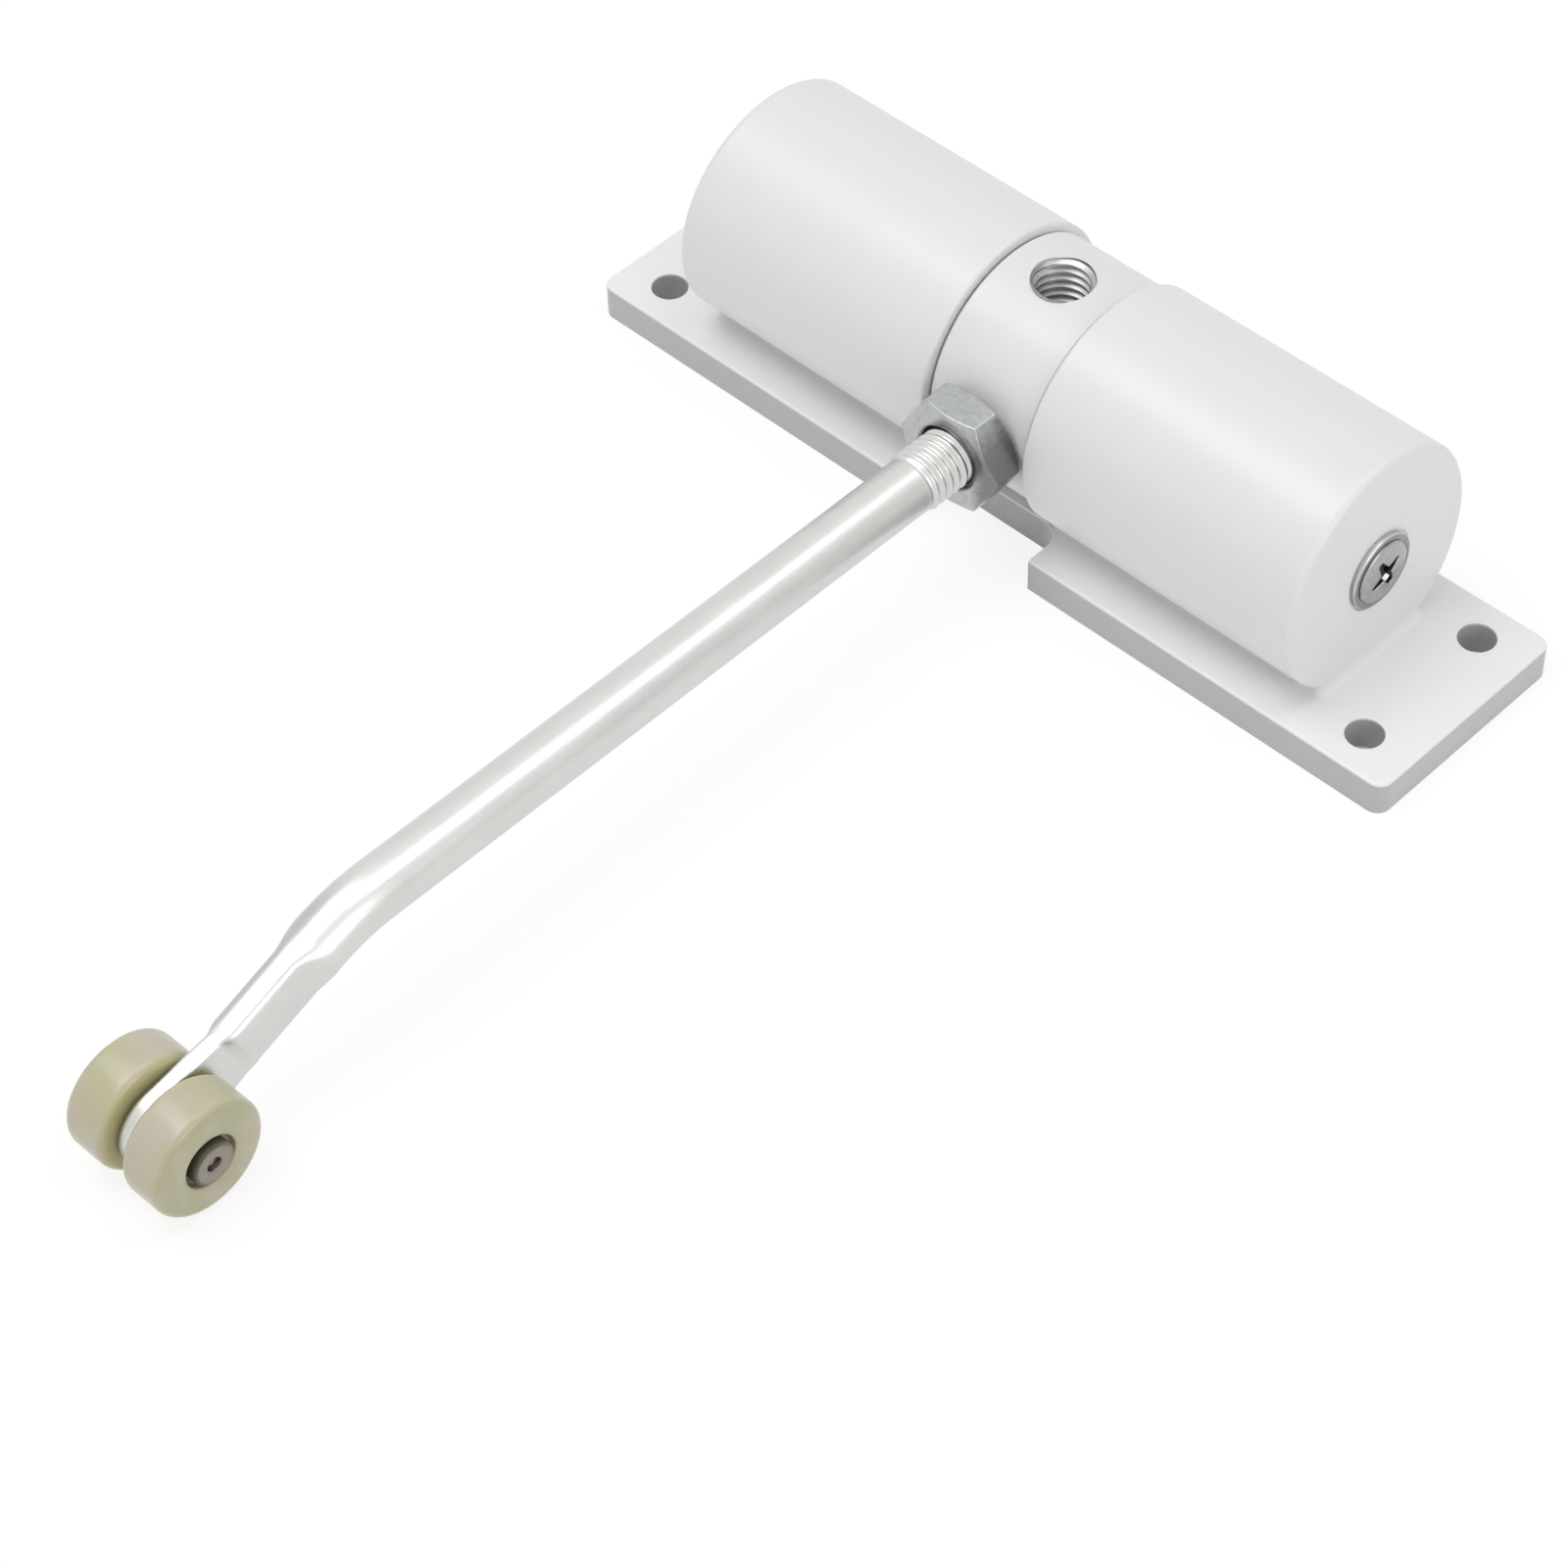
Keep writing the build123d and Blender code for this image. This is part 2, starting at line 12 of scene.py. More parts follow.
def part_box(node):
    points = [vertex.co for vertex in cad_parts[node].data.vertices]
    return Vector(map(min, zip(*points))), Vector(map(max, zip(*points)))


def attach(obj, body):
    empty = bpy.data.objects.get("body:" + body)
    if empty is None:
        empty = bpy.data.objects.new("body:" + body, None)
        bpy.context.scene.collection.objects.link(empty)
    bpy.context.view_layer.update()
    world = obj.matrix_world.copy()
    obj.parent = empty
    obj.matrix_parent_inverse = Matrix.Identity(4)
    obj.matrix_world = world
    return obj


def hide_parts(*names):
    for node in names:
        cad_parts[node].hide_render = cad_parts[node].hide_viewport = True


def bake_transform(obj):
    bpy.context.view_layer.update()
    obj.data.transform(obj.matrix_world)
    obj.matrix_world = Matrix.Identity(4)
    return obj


bl_info = {
    "name": "Spring Door Closer",
    "version": (1, 0, 0),
    "blender": (4, 5, 0),
    "location": "3D View > Sidebar > Closer",
    "description": "Finishes, threads and rounded edges for the packed spring door closer",
    "category": "Object",
}

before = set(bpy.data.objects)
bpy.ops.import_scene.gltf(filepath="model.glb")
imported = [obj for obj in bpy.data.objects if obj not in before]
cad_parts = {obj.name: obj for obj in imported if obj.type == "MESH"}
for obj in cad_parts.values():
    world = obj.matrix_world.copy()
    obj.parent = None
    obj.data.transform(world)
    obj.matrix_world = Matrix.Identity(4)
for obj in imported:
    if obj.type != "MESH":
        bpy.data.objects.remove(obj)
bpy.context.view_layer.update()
MM = 0.001
MERGE = 1e-7
WHITE = (1, 1, 1, 1)
LIGHT_GREY = (0.80, 0.80, 0.80)
DARK_GREY = (0.05, 0.05, 0.05)
SENSOR_WIDTH = 36


def middle(node):
    """Centre of a CAD node's box."""
    low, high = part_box(node)
    return (low + high) / 2


def extent(node):
    """Size of a CAD node's box."""
    low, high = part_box(node)
    return high - low


AXIS_Z = middle("spindle").z
BARREL_R = extent("barrel").z / 2
SCREW_HEAD_R = extent("end_screws").z / 2
WASHER_R = extent("end_washers").z / 2
WASHER_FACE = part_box("end_washers")[1].x
NUT_FLATS = extent("lock_nut").z
NUT_FRONT = -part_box("lock_nut")[0].y
NUT_BACK = -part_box("lock_nut")[1].y
PIN = middle("roller_pin")
PIN_HALF = extent("roller_pin").x / 2
PIN_HEAD_R = extent("roller_pin").z / 2
ROLLER_R = extent("right_roller").z / 2
ROLLER_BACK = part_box("right_roller")[0].x
ROLLER_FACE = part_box("right_roller")[1].x
STUD_R = extent("arm").x / 2
STUD_START = 9.2 * MM
PLATE_TOP = 6 * MM

# The part of the floor that the plate's screw holes show: least and greatest |x|, greatest |y|.
HOLES_NEAR = 66 * MM
HOLES_FAR = 77 * MM
HOLES_SIDE = 18 * MM

# Way to the grey part of the studio, and the cosines of the angles where it begins and is full.
WALL_WAY = (0.88, 0.47, 0.04)
WALL_EDGE = 0.72
WALL_FULL = 0.97


def measure(name, description, default):
    """Length property, its default given in millimetres."""
    return FloatProperty(
        name=name, description=description, default=default * MM, unit="LENGTH")


def pigment(name, description, default):
    """Colour property."""
    return FloatVectorProperty(
        name=name, description=description, default=default, subtype="COLOR", size=3)


def number(name, description, default):
    """Plain number property."""
    return FloatProperty(name=name, description=description, default=default)


class CloserSizes(bpy.types.PropertyGroup):
    """Sizes of what the CAD leaves plain."""

    thread_pitch: measure("Thread pitch", "Pitch of the arm's thread", 1.5)
    thread_depth: measure("Thread depth", "Depth of the arm's thread", 0.6)
    thread_end: measure(
        "Thread end", "Distance from the barrel's axis to the thread's run-out", 34)
    rod_radius: measure("Rod radius", "Radius of the arm's plain rod", 4.515)
    bend_radius: measure("Bend radius", "Radius of the arm's bend", 28)
    bend_corner: measure(
        "Bend corner", "Distance from the barrel's axis to the bend's corner", 146)
    forged_half_width: measure(
        "Forged half width", "Half the width of the arm's oblong part", 2.8)
    forged_half_height: measure(
        "Forged half height", "Half the height of the arm's oblong part", 4.8)
    forge_ramp: measure(
        "Forge ramp", "Length over which the round rod turns oblong", 5.5)
    shoulder_length: measure("Shoulder", "Length of the step down to the blade", 3)
    blade_reach: measure("Blade reach", "Distance from the shoulder's end to the pin", 12.2)
    blade_half: measure(
        "Blade half thickness", "Half the thickness of the arm's flat end", 1.6)
    blade_high: measure(
        "Blade upper edge", "Height of the blade's start above the arm's line", 4.6)
    blade_low: measure(
        "Blade lower edge", "Depth of the blade's start below the arm's line", 5.8)
    blade_end_radius: measure(
        "Blade end radius", "Radius of the flat end round the pin", 7.0)
    roller_round: measure("Roller rounding", "Rounding of the rollers' rims", 1.4)
    head_rim: measure("Head rim", "Height of the end screws' upright rim", 0.3)
    head_rise: measure("Head rise", "Height of the end screws' low heads", 0.8)
    cross_length: measure("Cross length", "Length of the screws' cross recess", 6.2)
    cross_width: measure("Cross width", "Width of one arm of the cross recess", 1.6)
    cross_turn: FloatProperty(
        name="Cross turn", description="How far the cross recess is turned", default=0.5,
        subtype="ANGLE")
    columns: IntProperty(
        name="Columns", description="Points round a fine turned surface", default=160, min=24)


class CloserFinish(bpy.types.PropertyGroup):
    """Colours of the finishes."""

    paint: pigment("Paint", "White paint of the housing and the barrel", (0.855, 0.86, 0.855))
    zinc: pigment(
        "Zinc", "Plating of the nut, the end screws and their washers", (0.40, 0.41, 0.415))
    arm: pigment("Arm", "Satin plating of the arm", (0.68, 0.675, 0.66))
    nylon: pigment("Nylon", "Natural nylon of the rollers", (0.54, 0.505, 0.39))
    rivet: pigment("Rivet", "Bare steel of the roller pin", (0.30, 0.27, 0.235))
    spindle: pigment("Spindle", "Turned steel of the spindle", (0.46, 0.45, 0.43))
    socket: pigment("Socket", "Cut steel of the socket threads", (0.42, 0.42, 0.42))
    spring: pigment("Spring", "Oiled spring wire", (0.20, 0.19, 0.18))
    sleeve: pigment("Sleeve", "Black moulded spacer", (0.03, 0.03, 0.032))


class StudioSettings(bpy.types.PropertyGroup):
    """Camera, lamps and floor."""

    camera_place: FloatVectorProperty(
        name="Camera", description="Where the camera stands",
        default=(0.3236, -0.3818, 0.4891), subtype="XYZ", size=3)
    camera_forward: FloatVectorProperty(
        name="Forward", description="The camera's direction",
        default=(-0.47397, 0.46931, -0.74505), subtype="DIRECTION", size=3)
    camera_right: FloatVectorProperty(
        name="Right", description="The camera's right side, with its small roll",
        default=(0.71963, 0.69405, -0.02062), subtype="DIRECTION", size=3)
    lens: number("Lens", "Focal length on a 36 mm wide sensor", 103.32)
    key_power: number("Key", "Power of the large lamp above the front", 6.8)
    glint_power: number("Glint", "Power of the weak lamp that the rollers mirror", 1.15)
    top_power: number("Top", "Power of the small lamp above the back", 2.1)
    side_power: number("Side", "Power of the lamp at the right", 4.5)
    fill: number("Fill", "Strength of the even light all round", 0.47)
    wall_grey: number("Grey wall", "How much darker the grey part of the studio is", 0.25)
    floor_colour: pigment("Floor", "Pale floor", (0.93, 0.93, 0.93))
    floor_glow: number("Floor glow", "Share of the floor that looks plain white", 0.8)


class Value:
    """A shader socket that takes part in plain sums, products and comparisons."""

    def __init__(self, finish, socket):
        self.finish = finish
        self.socket = socket

    def calculate(self, operation, first, second):
        return self.finish.node("ShaderNodeMath", {"operation": operation}, {0: first, 1: second})

    def __add__(self, other):
        return self.calculate("ADD", self, other)

    def __radd__(self, other):
        return self.calculate("ADD", other, self)

    def __sub__(self, other):
        return self.calculate("SUBTRACT", self, other)

    def __rsub__(self, other):
        return self.calculate("SUBTRACT", other, self)

    def __mul__(self, other):
        return self.calculate("MULTIPLY", self, other)

    def __rmul__(self, other):
        return self.calculate("MULTIPLY", other, self)

    def __gt__(self, other):
        return self.calculate("GREATER_THAN", self, other)

    def __lt__(self, other):
        return self.calculate("LESS_THAN", self, other)


class Finish:
    """One procedural material, or the world, and the nodes in it."""

    def __init__(self, name, kind="materials"):
        self.owner = getattr(bpy.data, kind).new(name)
        self.owner.use_nodes = True
        self.tree = self.owner.node_tree
        self.tree.nodes.clear()

    def node(self, kind, settings=None, inputs=None, output=0):
        """Adds a node: its settings first, then the values or links of its sockets."""
        made = self.tree.nodes.new(kind)
        for name, value in (settings or {}).items():
            setattr(made, name, value)
        for key, value in (inputs or {}).items():
            if isinstance(value, Value):
                self.tree.links.new(value.socket, made.inputs[key])
            else:
                made.inputs[key].default_value = value
        return Value(self, made.outputs[output])

    def place(self, stretch=(1, 1, 1), turn=(0, 0, 0)):
        """Object coordinates, stretched and turned."""
        coordinates = self.node("ShaderNodeTexCoord", output="Object")
        return self.node("ShaderNodeMapping", {}, {
            "Vector": coordinates, "Scale": stretch, "Rotation": turn}, "Vector")

    def split(self, place):
        """The three coordinates of a place."""
        made = self.node("ShaderNodeSeparateXYZ", {}, {"Vector": place}, "X")
        outputs = made.socket.node.outputs
        return made, Value(self, outputs["Y"]), Value(self, outputs["Z"])

    def noise(self, place, size, detail=3.0, roughness=0.5):
        """Soft noise whose features are about one size across."""
        return self.node("ShaderNodeTexNoise", {}, {
            "Vector": place, "Scale": 1 / size, "Detail": detail, "Roughness": roughness})

    def cells(self, place, size):
        """Cell pattern whose cells are about one size across."""
        return self.node("ShaderNodeTexVoronoi", {}, {"Vector": place, "Scale": 1 / size})

    def distance(self, first, second):
        """Distance of a point from an axis, by its two coordinates across the axis."""
        square = first * first + second * second
        return self.node("ShaderNodeMath", {"operation": "SQRT"}, {0: square})

    def size(self, value):
        """Value without its sign."""
        return self.node("ShaderNodeMath", {"operation": "ABSOLUTE"}, {0: value})

    def ray(self, kind):
        """1 for one kind of ray, 0 for the others."""
        return self.node("ShaderNodeLightPath", output="Is " + kind + " Ray")

    def step(self, value, start, end):
        """Smooth rise from 0 to 1 as the value goes from start to end."""
        return self.node("ShaderNodeMapRange", {"interpolation_type": "SMOOTHSTEP"}, {
            "Value": value, "From Min": start, "From Max": end})

    def mix(self, factor, first, second):
        """Colour between two colours."""
        return self.node("ShaderNodeMix", {"data_type": "RGBA"}, {
            0: factor, 6: colour(first), 7: colour(second)}, 2)

    def bump(self, height, distance, strength):
        """Normal tilted by a height, whose full relief is one distance deep."""
        return self.node("ShaderNodeBump", {}, {
            "Strength": strength, "Distance": distance, "Height": height}, "Normal")

    def surface(self, inputs):
        """Ends the material in one principled surface."""
        return self.end(self.node("ShaderNodeBsdfPrincipled", {}, inputs, "BSDF"))

    def end(self, shader, kind="ShaderNodeOutputMaterial"):
        """Links the shader to the output and gives the finished material or world."""
        output = self.tree.nodes.new(kind)
        self.tree.links.new(shader.socket, output.inputs["Surface"])
        return self.owner


def colour(value):
    """A colour socket as it is, or three numbers with alpha added."""
    return value if isinstance(value, Value) else (*value[:3], 1.0)


def shade(value, factor):
    """Three numbers, each times a factor."""
    return tuple(channel * factor for channel in value)


def paint_finish(name, tint, wall_top):
    """White satin paint over a casting: fine orange peel, faint unevenness and dust.

    Painted shade makes the paint greyer on the plate's side walls, below the height wall_top, and
    a touch greyer on the round forms above the plate.
    """
    finish = Finish(name)
    place = finish.place()
    height_z = finish.split(place)[2]
    wall = finish.step(height_z, wall_top, wall_top - 0.5 * MM)
    upper = finish.step(height_z, wall_top + 0.6 * MM, wall_top + 3 * MM)
    peel = finish.noise(place, 0.9 * MM, 2.0)
    broad = finish.noise(place, 9 * MM, 3.0)
    dust = finish.step(finish.noise(place, 0.35 * MM, 1.0), 0.70, 0.78)
    base = finish.mix(broad, shade(tint, 0.985), shade(tint, 1.01))
    base = finish.mix(dust * 0.35, base, shade(tint, 0.80))
    # Painted shade: the plate's side walls are greyer.
    base = finish.mix(wall, base, shade(tint, 0.57))
    # Painted shade: the round forms above the plate are a touch greyer.
    base = finish.mix(upper * 0.10, base, DARK_GREY)
    height = peel * 0.7 + broad * 0.6
    return finish.surface({
        "Base Color": base, "Roughness": 0.33 + 0.10 * broad, "Coat Weight": 0.18,
        "Coat Roughness": 0.2, "Normal": finish.bump(height, 0.03 * MM, 0.6)})


def zinc_finish(name, tint, recess=False, ring=0.0, rim=0.0):
    """Bright zinc plate: soft cloudy grains and fine scratches, with painted shade down in a
    recess.

    A ring puts painted shade up to that distance from the arm's axis, in a nut's countersink, and
    painted shade on the nut's right, for a dark reflection. A rim makes it light grey past that
    distance from the barrel's axis, on a washer's side: partly paint overspray, partly a painted
    highlight.
    """
    finish = Finish(name)
    place = finish.place()
    grains = finish.cells(place, 0.8 * MM)
    cloud = finish.noise(place, 2.5 * MM, 4.0, 0.6)
    scratch = finish.noise(finish.place((0.12, 1, 1), (0.4, 0.2, 0.9)), 0.12 * MM, 2.0)
    mottle = finish.noise(place, 0.9 * MM, 3.0, 0.7)
    base = finish.mix(cloud, shade(tint, 0.84), shade(tint, 1.16))
    base = finish.mix(finish.step(mottle, 0.45, 0.68) * 0.45, base, shade(tint, 0.68))
    if recess:
        depth = finish.node("ShaderNodeAttribute", {"attribute_name": "depth"}, {}, "Fac")
        # Painted shade down in the cross recess, by its depth.
        base = finish.mix(finish.step(depth, 0.03, 0.45) * 0.93, base, shade(tint, 0.07))
    if ring:
        x, _, z = finish.split(place)
        away = finish.distance(x, z - AXIS_Z)
        dark = finish.step(away, ring, ring - 0.6 * MM)
        # Painted shade in the nut's countersink.
        base = finish.mix(dark * 0.8, base, shade(tint, 0.12))
        right = finish.step(x + mottle * 2 * MM, 5.5 * MM, 8.5 * MM)
        # Painted shade on the nut's right facets, standing in for a dark reflection.
        base = finish.mix(right * 0.75, base, shade(tint, 0.3))
    if rim:
        _, y, z = finish.split(place)
        away = finish.distance(y, z - AXIS_Z)
        overspray_and_highlight = finish.step(away, rim, rim + 0.15 * MM)
        # Light grey on the washer's side: partly paint overspray, partly a painted highlight.
        base = finish.mix(overspray_and_highlight * 0.6, base, LIGHT_GREY)
    height = scratch * 0.5 + grains * 0.3 + mottle
    return finish.surface({
        "Base Color": base, "Metallic": 1.0, "Roughness": 0.20 + 0.16 * cloud + 0.06 * scratch,
        "Normal": finish.bump(height, 0.01 * MM, 0.5)})


def arm_finish(name, tint):
    """Satin plating on drawn bar: lines along the arm, faint clouds and pits.

    Painted shade darkens the forged part along its upper left.
    """
    finish = Finish(name)
    x, y, _ = finish.split(finish.place())
    before = finish.step(y, PIN.y + 38 * MM, PIN.y + 30 * MM)
    behind = finish.step(y, PIN.y + 7 * MM, PIN.y + 13 * MM)
    left = finish.step(x, 0.4 * MM, -0.9 * MM) * finish.step(x, -3.4 * MM, -2.6 * MM)
    forged_shade = before * behind * left
    lines = finish.noise(finish.place((1, 0.02, 1)), 0.22 * MM, 2.0)
    cloud = finish.noise(finish.place((1, 0.45, 1)), 5 * MM, 4.0, 0.6)
    pits = finish.step(finish.noise(finish.place(), 0.5 * MM, 2.0), 0.66, 0.76)
    base = finish.mix(cloud, shade(tint, 0.90), shade(tint, 1.06))
    base = finish.mix(pits * 0.5, base, shade(tint, 0.72))
    # Painted shade along the forged part's upper left.
    base = finish.mix(forged_shade * (0.15 + 0.2 * cloud), base, shade(tint, 0.25))
    height = lines * 0.5 + cloud * 0.8 - pits * 0.4
    return finish.surface({
        "Base Color": base, "Metallic": 1.0, "Roughness": 0.24 + 0.12 * lines + 0.08 * cloud,
        "Normal": finish.bump(height, 0.02 * MM, 0.5)})


def nylon_finish(name, tint):
    """Natural nylon: warm, slightly see-through, with soft clouds and a moulded skin.

    Dirt and painted shade lie round the pin, mostly above it. Painted shade makes the sides that
    face each other olive, and the outer faces a little darker than the treads.
    """
    finish = Finish(name)
    place = finish.place()
    cloud = finish.noise(place, 6 * MM, 3.0)
    patch = finish.step(finish.noise(place, 9 * MM, 2.0), 0.38, 0.62)
    skin = finish.noise(place, 0.5 * MM, 2.0)
    specks = finish.step(finish.noise(place, 0.45 * MM, 1.0), 0.70, 0.80)
    warm = (tint[0] * 1.03, tint[1] * 0.99, tint[2] * 1.05)
    olive = (tint[0] * 0.93, tint[1] * 0.97, tint[2] * 0.80)
    dirt_and_shade = (0.09, 0.07, 0.035)
    olive_shade = (0.50, 0.47, 0.16)
    face_shade = (0.39, 0.375, 0.23)
    base = finish.mix(patch, warm, olive)
    base = finish.mix(cloud * 0.4, base, shade(tint, 1.03))
    base = finish.mix(specks * 0.3, base, shade(tint, 0.78))
    x, y, z = finish.split(place)
    out = y - PIN.y
    up = z - PIN.z
    away = finish.distance(out, up) + cloud * 0.6 * MM
    grime_and_shade = finish.step(away, PIN_HEAD_R + 1.9 * MM, PIN_HEAD_R + 0.5 * MM)
    lean = finish.step(up - out, -5 * MM, 4 * MM)
    # Dirt and painted shade round the pin, stronger above it.
    base = finish.mix(grime_and_shade * (0.25 + 0.7 * lean), base, dirt_and_shade)
    inner_side_shade = finish.step(finish.size(x), ROLLER_BACK + 1.25 * MM, ROLLER_BACK + 0.05 * MM)
    # Painted shade: olive on the rollers' inner sides, between them and the blade.
    base = finish.mix(inner_side_shade * 0.5, base, olive_shade)
    face = finish.step(finish.size(x), ROLLER_FACE - 1.3 * MM, ROLLER_FACE - 0.1 * MM)
    # Painted shade: the outer faces a little darker than the treads.
    base = finish.mix(face * (0.3 + 0.3 * patch), base, face_shade)
    return finish.surface({
        "Base Color": base, "Roughness": 0.20 + 0.10 * skin, "Subsurface Weight": 0.35,
        "Subsurface Radius": (1.0, 0.85, 0.45), "Subsurface Scale": 2.5 * MM,
        "Normal": finish.bump(skin * 0.6 + cloud, 0.03 * MM, 0.5)})


def steel_finish(name, tint, roughness):
    """Bare or oiled steel: turned rings and darker clouds."""
    finish = Finish(name)
    rings = finish.noise(finish.place((1, 0.03, 0.03)), 0.15 * MM, 2.0)
    cloud = finish.noise(finish.place(), 2 * MM, 4.0, 0.65)
    base = finish.mix(cloud, shade(tint, 0.72), shade(tint, 1.25))
    return finish.surface({
        "Base Color": base, "Metallic": 1.0, "Roughness": roughness + 0.14 * cloud,
        "Normal": finish.bump(rings + cloud * 0.6, 0.012 * MM, 0.5)})


def rivet_finish(name, tint):
    """Turned steel: a dark brown stain and painted shade round its rim, stronger above, and
    painted shade down in its hollow.
    """
    finish = Finish(name)
    place = finish.place()
    rings = finish.noise(finish.place((1, 0.03, 0.03)), 0.15 * MM, 2.0)
    cloud = finish.noise(place, 1.2 * MM, 4.0, 0.65)
    _, y, z = finish.split(place)
    out = y - PIN.y
    up = z - PIN.z
    away = finish.distance(out, up) + cloud * 0.5 * MM
    rim = finish.step(away, 2.9 * MM, 3.6 * MM)
    hollow = finish.step(away, 1.9 * MM, 1.2 * MM)
    stain_and_shade = (0.05, 0.04, 0.018)
    base = finish.mix(cloud, shade(tint, 0.75), shade(tint, 1.2))
    lean = finish.step(up - out, -4 * MM, 4 * MM)
    # Dark brown stain and painted shade round the rim, stronger above; the painted shade also
    # lowers the metallic there.
    base = finish.mix(rim * (0.1 + 0.75 * lean), base, stain_and_shade)
    # Painted shade down in the hollow.
    base = finish.mix(hollow * 0.3, base, stain_and_shade)
    return finish.surface({
        "Base Color": base, "Metallic": 1.0 - rim * lean * 0.6,
        "Roughness": 0.30 + 0.14 * cloud + 0.2 * rim,
        "Normal": finish.bump(rings + cloud * 0.6, 0.012 * MM, 0.5)})


def sleeve_finish(name, tint):
    """Black moulded plastic with a fine grain."""
    finish = Finish(name)
    grain = finish.noise(finish.place(), 0.4 * MM, 3.0)
    base = finish.mix(grain, shade(tint, 0.8), shade(tint, 1.4))
    return finish.surface({
        "Base Color": base, "Roughness": 0.42 + 0.15 * grain,
        "Normal": finish.bump(grain, 0.02 * MM, 0.5)})


def grid_faces(rows, columns, first=0, wrap=True):
    """Quads of a grid of rows by columns; the columns close on themselves where wrap is true."""
    row = np.arange(rows - 1)[:, None]
    column = np.arange(columns if wrap else columns - 1)[None, :]
    following = (column + 1) % columns
    corner = row * columns
    above = corner + columns
    quads = np.stack([
        corner + column, corner + following, above + following, above + column], -1)
    return quads.reshape(-1, 4) + first


def piece_from(name, grids, finish, body, replaced=(), depths=None):
    """One mesh from closed grids: doubles merged, faces outwards, then handed to the frame.

    The depths, one for each point, go into an attribute that a finish can read.
    """
    points = []
    quads = []
    count = 0
    for grid in grids:
        rows, columns = grid.shape[:2]
        points.append(grid.reshape(-1, 3))
        quads.append(grid_faces(rows, columns, count))
        count += rows * columns
    mesh = bpy.data.meshes.new(name)
    mesh.from_pydata(np.concatenate(points).tolist(), [], np.concatenate(quads).tolist())
    if depths is not None:
        kept = mesh.attributes.new("depth", "FLOAT", "POINT")
        kept.data.foreach_set("value", depths.astype(np.float32))
    shell = bmesh.new()
    shell.from_mesh(mesh)
    bmesh.ops.remove_doubles(shell, verts=shell.verts, dist=MERGE)
    bmesh.ops.dissolve_degenerate(shell, dist=MERGE / 10, edges=shell.edges)
    bmesh.ops.recalc_face_normals(shell, faces=shell.faces)
    shell.to_mesh(mesh)
    shell.free()
    mesh.shade_smooth()
    mesh.materials.append(finish)
    piece = bpy.data.objects.new(name, mesh)
    bpy.context.scene.collection.objects.link(piece)
    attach(piece, body)
    if replaced:
        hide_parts(*replaced)


def rounded(corners, radii, steps=8):
    """Profile through corners, each corner replaced by an arc tangent to both sides.

    The arc of radius r starts r / tan(a / 2) from the corner, a being the corner's inner
    angle, and its points are the centre plus r times the turned unit radius.
    """
    corners = [np.array(corner, float) for corner in corners]
    points = [corners[0]]
    for before, corner, after, radius in zip(corners, corners[1:], corners[2:], radii[1:-1]):
        if radius <= 0:
            points.append(corner)
            continue
        back = (before - corner) / np.linalg.norm(before - corner)
        ahead = (after - corner) / np.linalg.norm(after - corner)
        half = np.arccos(np.clip(back @ ahead, -1, 1)) / 2
        centre = corner + (back + ahead) / np.linalg.norm(back + ahead) * radius / np.sin(half)
        start = corner + back * radius / np.tan(half) - centre
        end = corner + ahead * radius / np.tan(half) - centre
        sweep = pi - 2 * half
        t = np.linspace(0, 1, steps + 1)[:, None]
        arc = (start * np.sin((1 - t) * sweep) + end * np.sin(t * sweep)) / np.sin(sweep)
        points.extend(centre + arc)
    points.append(corners[-1])
    return np.array(points)


def turned(profile, columns, centre):
    """Surface of revolution about an axis along X.

    A profile point (x, r) goes to (x, y0 + r cos a, z0 + r sin a) for a from 0 to a full turn.
    """
    angle = np.linspace(0, 2 * pi, columns, endpoint=False)[None, :]
    x = np.repeat(profile[:, :1], columns, 1)
    r = profile[:, 1:2]
    return np.stack([x, centre[1] + r * np.cos(angle), centre[2] + r * np.sin(angle)], -1)


def thread_wave(turns):
    """Rolled thread form from 0 at the root to 1 at the crest, as a function of turns."""
    phase = turns - np.floor(turns)
    tooth = 1 - np.abs(2 * phase - 1)
    return np.clip(1.28 * tooth - 0.14, 0, 1)


def smooth(value, start, end):
    """Smooth step from 0 at start to 1 at end."""
    t = np.clip((value - start) / (end - start), 0, 1)
    return t * t * (3 - 2 * t)


def soft_least(first, second, width):
    """The lesser of two arrays, with the corner between them rounded over a width."""
    gap = np.clip(1 - np.abs(first - second) / width, 0, 1)
    return np.minimum(first, second) - width * gap ** 3 / 6


def bend_angle(sizes):
    """Angle between the arm's straight rod and the line from the bend's corner to the pin."""
    return np.arctan2(AXIS_Z - PIN.z, -PIN.y - sizes.bend_corner)


def arm_route(length, sizes):
    """Centre line of the arm by arc length: straight, one arc, straight down to the pin.

    Gives the points (y, z), the unit directions and each point's distance past the bend's
    corner, worked out as whole arrays.
    """
    angle = bend_angle(sizes)
    tangent = sizes.bend_radius * np.tan(angle / 2)
    arc_start = sizes.bend_corner - tangent
    arc_end = arc_start + sizes.bend_radius * angle
    turn = np.clip((length - arc_start) / sizes.bend_radius, 0, angle)
    along = np.minimum(length, arc_start)
    after = np.maximum(length - arc_end, 0)
    out = along + sizes.bend_radius * np.sin(turn) + after * np.cos(angle)
    down = sizes.bend_radius * (1 - np.cos(turn)) + after * np.sin(angle)
    points = np.stack([-out, AXIS_Z - down], -1)
    directions = np.stack([-np.cos(turn), -np.sin(turn)], -1)
    return points, directions, length - arc_end + tangent


